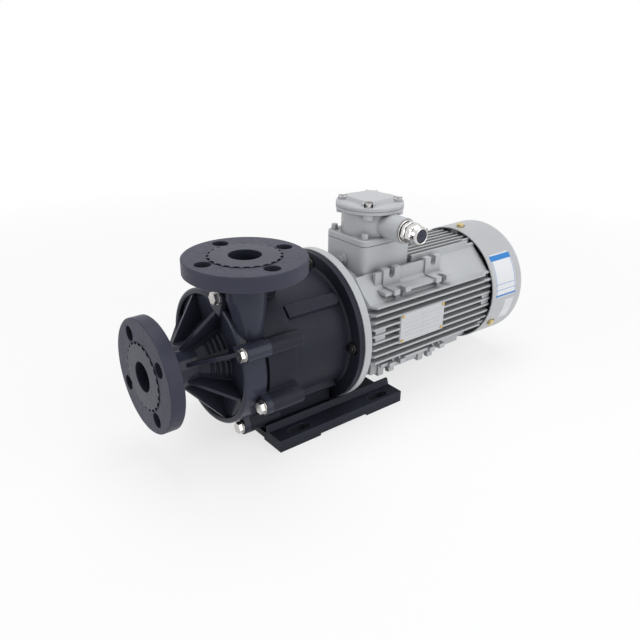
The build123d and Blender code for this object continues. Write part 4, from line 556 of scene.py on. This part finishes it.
def curved_patch(name, start_x, width, low, high, thickness, steps=24):
    """Thin sheet that lies on the cowl, with its own UV map."""
    build = bmesh.new()
    uv_layer = build.loops.layers.uv.new("sheet")
    rows = []
    for across in range(steps + 1):
        share_x = across / steps
        x = start_x + width * share_x
        radius = cowl_radius(x) + thickness
        row = []
        for around in range(steps + 1):
            share_a = around / steps
            angle = low + (high - low) * share_a
            place = (x, -radius * math.cos(angle), SHAFT_HEIGHT + radius * math.sin(angle))
            row.append((build.verts.new(place), (share_x, share_a)))
        rows.append(row)
    for first, second in zip(rows, rows[1:]):
        for corners in zip(first, second, second[1:], first[1:]):
            face = build.faces.new([vertex for vertex, _ in corners])
            face.smooth = True
            for loop, (_, uv) in zip(face.loops, corners):
                loop[uv_layer].uv = uv
    build.normal_update()
    mesh = bpy.data.meshes.new(name)
    build.to_mesh(mesh)
    build.free()
    piece = link_mesh(name, mesh)
    solid = piece.modifiers.new("thickness", "SOLIDIFY")
    solid.thickness = thickness
    solid.offset = -1
    return piece


# Operators


class PUMP_OT_wet_end(bpy.types.Operator):
    """Finish the casing, the flanges and what turns inside them"""

    bl_idname = "pump.wet_end"
    bl_label = "Wet End"

    def execute(self, context):
        colors = context.scene.pump_finishes
        inner = context.scene.pump_inner_finishes
        assign(moulded_plastic("casing_plastic", colors.casing), "front_casing", "rear_casing")
        matt = moulded_plastic(
            "flange_plastic", colors.flanges, smooth=0.40, rough=0.50, gloss=0.15, skin=0
        )
        assign(matt, "suction_flange", "discharge_flange")
        assign(moulded_plastic("impeller_plastic", colors.casing), "impeller", "magnet_capsule")
        rings = plain_solid("wear_ring", inner.wear_ring, 0.3)
        assign(rings, "casing_liner_ring", "impeller_mouth_ring")
        assign(plain_solid("ceramic", inner.ceramic, 0.2), "pump_shaft", "front_thrust_ring")
        assign(plain_solid("carbon", inner.carbon, 0.6), "shaft_bush")
        magnets = plain_solid("sintered_magnet", inner.magnet, 0.5, metallic=1)
        assign(magnets, "capsule_magnets", "drive_magnets")
        assign(soft_rubber("seal_rubber", colors.rubber), "casing_o_ring")
        return {"FINISHED"}


class PUMP_OT_bracket_and_base(bpy.types.Operator):
    """Finish the bracket and the base plate"""

    bl_idname = "pump.bracket_and_base"
    bl_label = "Bracket and Base"

    def execute(self, context):
        colors = context.scene.pump_finishes
        assign(dark_paint("bracket_paint", colors.bracket), "bracket")
        assign(dark_paint("base_paint", colors.base), "base_plate")
        return {"FINISHED"}


class PUMP_OT_motor(bpy.types.Operator):
    """Finish the motor's castings, cowl and inner parts"""

    bl_idname = "pump.motor"
    bl_label = "Motor"

    def execute(self, context):
        colors = context.scene.pump_finishes
        inner = context.scene.pump_inner_finishes
        cast = light_paint("motor_paint", colors.motor)
        assign(cast, "motor_frame", "drive_end_shield", "fan_end_shield")
        assign(sheet_paint("cowl_paint", colors.motor), "fan_cowl")
        cores = plain_solid("core_steel", inner.core, 0.5, metallic=1)
        assign(cores, "stator_core", "rotor_core")
        assign(plain_solid("oiled_iron", inner.yoke, 0.45, metallic=1), "drive_magnet_yoke")
        assign(plain_solid("copper", inner.copper, 0.35, metallic=1), "stator_windings")
        steel = bare_metal("shaft_steel", colors.steel, 0.25)
        assign(steel, "motor_shaft", "shaft_key", "bearing_outer_rings", "bearing_inner_rings")
        fan_plastic = plain_solid("fan_plastic", inner.fan, 0.5)
        assign(fan_plastic, "cooling_fan")
        self.add_fan_plate(fan_plastic)
        return {"FINISHED"}

    def add_fan_plate(self, fan_plastic):
        """Disc that carries the blades of the cooling fan on its motor side."""
        low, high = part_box("cooling_fan")
        reach = (high.y - low.y) / 2
        hub, bevel, rim, lip = 0.30 * reach, 0.96 * reach, 0.995 * reach, 0.95 * reach
        thickness, lip_end = 1.9 * MM, 2.6 * MM
        outline = (
            (0.0, hub, None),
            (0.0, bevel, None),
            (1.2 * MM, rim, None),
            (lip_end, rim, None),
            (thickness, lip, None),
            (thickness, hub, None),
        )
        centre = Vector((low.x + 0.1 * MM, 0, SHAFT_HEIGHT))
        plate = turned_piece("fan_back_plate", centre, Vector((1, 0, 0)), outline)
        plate.data.materials.append(fan_plastic)
        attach(plate, "motor_rotor")


class PUMP_OT_terminal_box(bpy.types.Operator):
    """Finish the terminal box, its cover and its gland"""

    bl_idname = "pump.terminal_box"
    bl_label = "Terminal Box"

    def execute(self, context):
        colors = context.scene.pump_finishes
        inner = context.scene.pump_inner_finishes
        cast = light_paint("box_paint", colors.motor)
        assign(cast, "terminal_box", "terminal_turret", "terminal_cover")
        assign(plain_solid("insulator", inner.insulator, 0.4), "terminal_block")
        assign(plain_solid("fibre_gasket", colors.gasket, 0.7), "box_gasket")
        assign(soft_rubber("plug_rubber", colors.rubber), "gland_plug")
        plated = bare_metal("gland_plating", colors.gland, 0.13, grain=1200, rounding=0.3 * MM)
        self.add_gland(plated)
        return {"FINISHED"}

    def add_gland(self, plated):
        """Cable gland in place of the plain one."""
        ring_low, ring_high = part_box("gland_ring")
        nut_low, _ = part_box("gland_nut")
        plug_low, plug_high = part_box("gland_plug")
        centre = Vector(
            ((plug_low.x + plug_high.x) / 2, ring_high.y, (plug_low.z + plug_high.z) / 2)
        )
        length = ring_high.y - nut_low.y
        mouth = (plug_high.x - plug_low.x) / 2 + 0.1 * MM
        full = (ring_high.x - ring_low.x) / 2
        outline = self.gland_outline(full, mouth, length)
        gland = turned_piece("cable_gland", centre, Vector((0, -1, 0)), outline)
        gland.data.materials.append(plated)
        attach(gland, "root")
        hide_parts("gland_ring", "gland_body", "gland_nut")

    def gland_outline(self, full, mouth, length):
        """Outline from the spout outwards; full is the largest radius."""
        groove, neck, step = 0.74 * full, 0.78 * full, 0.80 * full
        ring_bevel, corner = 0.6 * MM, 1.6 * MM
        ring_end, body_start, body_end = 2.4 * MM, 3.9 * MM, 9.6 * MM
        nut_start, nut_end, dome_start = 11.2 * MM, 20.2 * MM, 22.0 * MM
        nut_full = full - 0.3 * MM
        sealing_ring = (
            (0.0, mouth, None),
            (0.0, full - ring_bevel, None),
            (0.5 * MM, full, None),
            (ring_end - 0.5 * MM, full, None),
            (ring_end, full - ring_bevel, None),
            (ring_end, groove, None),
        )
        body = (
            (body_start, groove, None),
            (body_start, full - corner, 0.85 * full),
            (body_start + 0.7 * MM, full, 0.87 * full),
            (body_end - 0.7 * MM, full, 0.87 * full),
            (body_end, full - corner, 0.85 * full),
            (body_end, neck, None),
        )
        nut = (
            (nut_start, neck, None),
            (nut_start, nut_full - 1.5 * MM, 0.84 * full),
            (nut_start + 0.8 * MM, nut_full, 0.86 * full),
            (nut_end - 1.6 * MM, nut_full, 0.86 * full),
            (nut_end, 0.88 * full, 0.83 * full),
        )
        dome = (
            (nut_end + 0.4 * MM, step, None),
            (dome_start - 0.4 * MM, step, None),
            (dome_start, 0.86 * full, None),
            (length - 3.2 * MM, 0.82 * full, None),
            (length - 1.0 * MM, 0.74 * full, None),
            (length - 0.1 * MM, 0.67 * full, None),
            (length - 0.4 * MM, mouth, None),
        )
        return sealing_ring + body + nut + dome


class PUMP_OT_fasteners(bpy.types.Operator):
    """Finish the bolts, washers, screws and rivets"""

    bl_idname = "pump.fasteners"
    bl_label = "Fasteners"

    def execute(self, context):
        colors = context.scene.pump_finishes
        steel = bare_metal("bolt_steel", colors.steel, 0.26)
        assign(steel, "casing_bolts", "casing_washers", "base_bolts", "cup_retaining_screw")
        assign(steel, "cover_screws")
        oiled = bare_metal("oiled_steel", colors.dark_steel, 0.35)
        assign(oiled, "flange_studs", "flange_nuts")
        assign(light_paint("painted_screw", colors.motor), "box_screws", "earth_screw")
        assign(bare_metal("yellow_zinc", colors.zinc, 0.25), "cowl_screws")
        assign(bare_metal("rivet_brass", colors.brass, 0.30), "plate_rivets")
        return {"FINISHED"}


class PUMP_OT_plate_and_labels(bpy.types.Operator):
    """Finish the blank rating plate and add the blank labels on the cowl"""

    bl_idname = "pump.plate_and_labels"
    bl_label = "Plate and Labels"

    def execute(self, context):
        colors = context.scene.pump_finishes
        place = context.scene.pump_labels
        assign(ruled_plate("plate_metal", colors.plate), "rating_plate")
        label = curved_patch(
            "cowl_label",
            place.start_x,
            place.width,
            place.low_angle,
            place.high_angle,
            place.thickness,
        )
        head_rules_and_foot = ((0.84, 0.965), (0.30, 0.31), (0.17, 0.18), (0.025, 0.065))
        side_lines = ((0.03, 0.05), (0.95, 0.97))
        paper = label_paper(
            "label_paper", colors.label, colors.label_band, head_rules_and_foot, side_lines
        )
        label.data.materials.append(paper)
        tag = curved_patch(
            "cowl_tag",
            place.tag_start_x,
            place.tag_width,
            place.tag_low_angle,
            place.tag_high_angle,
            place.thickness,
        )
        pale, grey = shade(colors.label, 0.95), shade(colors.label, 0.85)
        upper_part = ((0.45, 0.92),)
        tag.data.materials.append(label_paper("tag_film", pale, grey, upper_part, ()))
        for piece in (label, tag):
            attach(piece, "root")
        return {"FINISHED"}


class PUMP_OT_stage(bpy.types.Operator):
    """Set the floor, the light and the camera"""

    bl_idname = "pump.stage"
    bl_label = "Stage"

    room_tint = (0.97, 0.98, 1.0, 1)
    floor_color = (0.95, 0.95, 0.95)
    floor_roughness = 0.9
    # Distances in metres from the floor's middle, between which it turns white.
    shadow_end, white_start = 0.5, 1.4
    light_aim = Vector((0.05, 0, SHAFT_HEIGHT))

    def execute(self, context):
        scene = context.scene
        stage = scene.pump_stage
        scene.view_settings.view_transform = "Standard"
        self.add_world(scene, stage)
        self.add_floor(stage)
        softboxes = (
            ("left_softbox", (-1.6, 0.25, 0.80), 0.8, stage.left_power),
            ("right_softbox", (0.50, -1.55, 0.95), 2.0, stage.right_power),
            ("top_softbox", (0.15, 0.20, 1.80), 1.2, stage.top_power),
        )
        for name, place, size, power in softboxes:
            self.add_softbox(name, place, size, power)
        self.add_camera(scene, stage)
        return {"FINISHED"}

    def add_world(self, scene, stage):
        """White background for the camera and for reflections, softer light for the rest."""
        world = bpy.data.worlds.new("studio")
        scene.world = world
        world.use_nodes = True
        tree = world.node_tree
        tree.nodes.clear()
        light = tree.nodes.new("ShaderNodeBackground")
        light.inputs["Color"].default_value = self.room_tint
        light.inputs["Strength"].default_value = stage.ambient
        white = tree.nodes.new("ShaderNodeBackground")
        white.inputs["Color"].default_value = (1, 1, 1, 1)
        white.inputs["Strength"].default_value = 1
        path = tree.nodes.new("ShaderNodeLightPath")
        seen = path.outputs[DIRECT_RAYS[0]]
        for kind in DIRECT_RAYS[1:]:
            either = tree.nodes.new("ShaderNodeMath")
            either.operation = "MAXIMUM"
            tree.links.new(seen, either.inputs[0])
            tree.links.new(path.outputs[kind], either.inputs[1])
            seen = either.outputs[0]
        mix = tree.nodes.new("ShaderNodeMixShader")
        tree.links.new(seen, mix.inputs["Fac"])
        tree.links.new(light.outputs[0], mix.inputs[1])
        tree.links.new(white.outputs[0], mix.inputs[2])
        output = tree.nodes.new("ShaderNodeOutputWorld")
        tree.links.new(mix.outputs[0], output.inputs["Surface"])

    def add_floor(self, stage):
        """Pale floor that keeps the pump's shadow and is white farther away."""
        build = bmesh.new()
        bmesh.ops.create_grid(build, x_segments=8, y_segments=8, size=stage.floor_size / 2)
        mesh = bpy.data.meshes.new("studio_floor")
        build.to_mesh(mesh)
        build.free()
        floor = link_mesh("studio_floor", mesh)
        finish = Finish("floor_paper")
        finish.done(self.floor_color, self.floor_roughness, specular=0)
        glow = finish.add("ShaderNodeEmission")
        distance = finish.add("ShaderNodeVectorMath")
        distance.operation = "LENGTH"
        finish.join(finish.coordinates, distance.inputs[0])
        share = finish.spread(
            distance.outputs["Value"], stage.floor_glow, 1, self.shadow_end, self.white_start
        )
        path = finish.add("ShaderNodeLightPath")
        rays = finish.any_of([path.outputs[kind] for kind in DIRECT_RAYS])
        both = finish.add("ShaderNodeMixShader")
        finish.join(finish.math("MULTIPLY", rays, share), both.inputs[0])
        finish.join(finish.shader.outputs[0], both.inputs[1])
        finish.join(glow.outputs[0], both.inputs[2])
        output = finish.tree.nodes["Material Output"]
        finish.join(both.outputs[0], output.inputs["Surface"])
        mesh.materials.append(finish.material)

    def add_softbox(self, name, place, size, power):
        """Square area light that faces the pump."""
        light = bpy.data.lights.new(name, "AREA")
        light.shape = "SQUARE"
        light.size = size
        light.energy = power
        lamp = bpy.data.objects.new(name, light)
        bpy.context.scene.collection.objects.link(lamp)
        lamp.location = place
        facing = self.light_aim - Vector(place)
        lamp.rotation_euler = facing.to_track_quat("-Z", "Y").to_euler()

    def add_camera(self, scene, stage):
        """Camera at the photograph's viewing angle, for a square picture."""
        yaw, pitch, roll = stage.camera_yaw, stage.camera_pitch, stage.camera_roll
        forward = Vector(
            (math.sin(yaw) * math.cos(pitch), math.cos(yaw) * math.cos(pitch), -math.sin(pitch))
        )
        level_right = Vector((math.cos(yaw), -math.sin(yaw), 0))
        level_up = level_right.cross(forward)
        right = math.cos(roll) * level_right + math.sin(roll) * level_up
        up = -math.sin(roll) * level_right + math.cos(roll) * level_up
        turn = Matrix((right, up, -forward)).transposed().to_4x4()
        lens = bpy.data.cameras.new("photo_camera")
        lens.lens = stage.camera_lens
        lens.sensor_width = 36
        lens.clip_end = 50
        camera = bpy.data.objects.new("photo_camera", lens)
        scene.collection.objects.link(camera)
        camera.matrix_world = Matrix.Translation(Vector(stage.camera_place)) @ turn
        scene.camera = camera


class PUMP_PT_panel(bpy.types.Panel):
    """Settings of the pump's looks, and the steps that apply them"""

    bl_label = "Magnetic Drive Pump"
    bl_idname = "PUMP_PT_panel"
    bl_space_type = "VIEW_3D"
    bl_region_type = "UI"
    bl_category = "Pump"

    def draw(self, context):
        for group in GROUPS:
            settings = getattr(context.scene, group)
            column = self.layout.column(align=True)
            for name in settings.bl_rna.properties.keys():
                if name not in ("rna_type", "name"):
                    column.prop(settings, name)
        for step in STEPS:
            self.layout.operator(step.bl_idname)


GROUPS = {
    "pump_finishes": PumpFinishes,
    "pump_inner_finishes": PumpInnerFinishes,
    "pump_labels": PumpLabels,
    "pump_stage": PumpStage,
}
STEPS = (
    PUMP_OT_stage,
    PUMP_OT_wet_end,
    PUMP_OT_bracket_and_base,
    PUMP_OT_motor,
    PUMP_OT_terminal_box,
    PUMP_OT_fasteners,
    PUMP_OT_plate_and_labels,
)


def register():
    for name, group in GROUPS.items():
        bpy.utils.register_class(group)
        setattr(bpy.types.Scene, name, PointerProperty(type=group))
    for step in STEPS:
        bpy.utils.register_class(step)
    bpy.utils.register_class(PUMP_PT_panel)


def unregister():
    bpy.utils.unregister_class(PUMP_PT_panel)
    for step in reversed(STEPS):
        bpy.utils.unregister_class(step)
    for name, group in reversed(GROUPS.items()):
        delattr(bpy.types.Scene, name)
        bpy.utils.unregister_class(group)


def main():
    register()
    for step in STEPS:
        group, _, name = step.bl_idname.partition(".")
        getattr(getattr(bpy.ops, group), name)()


if __name__ == "__main__":
    main()
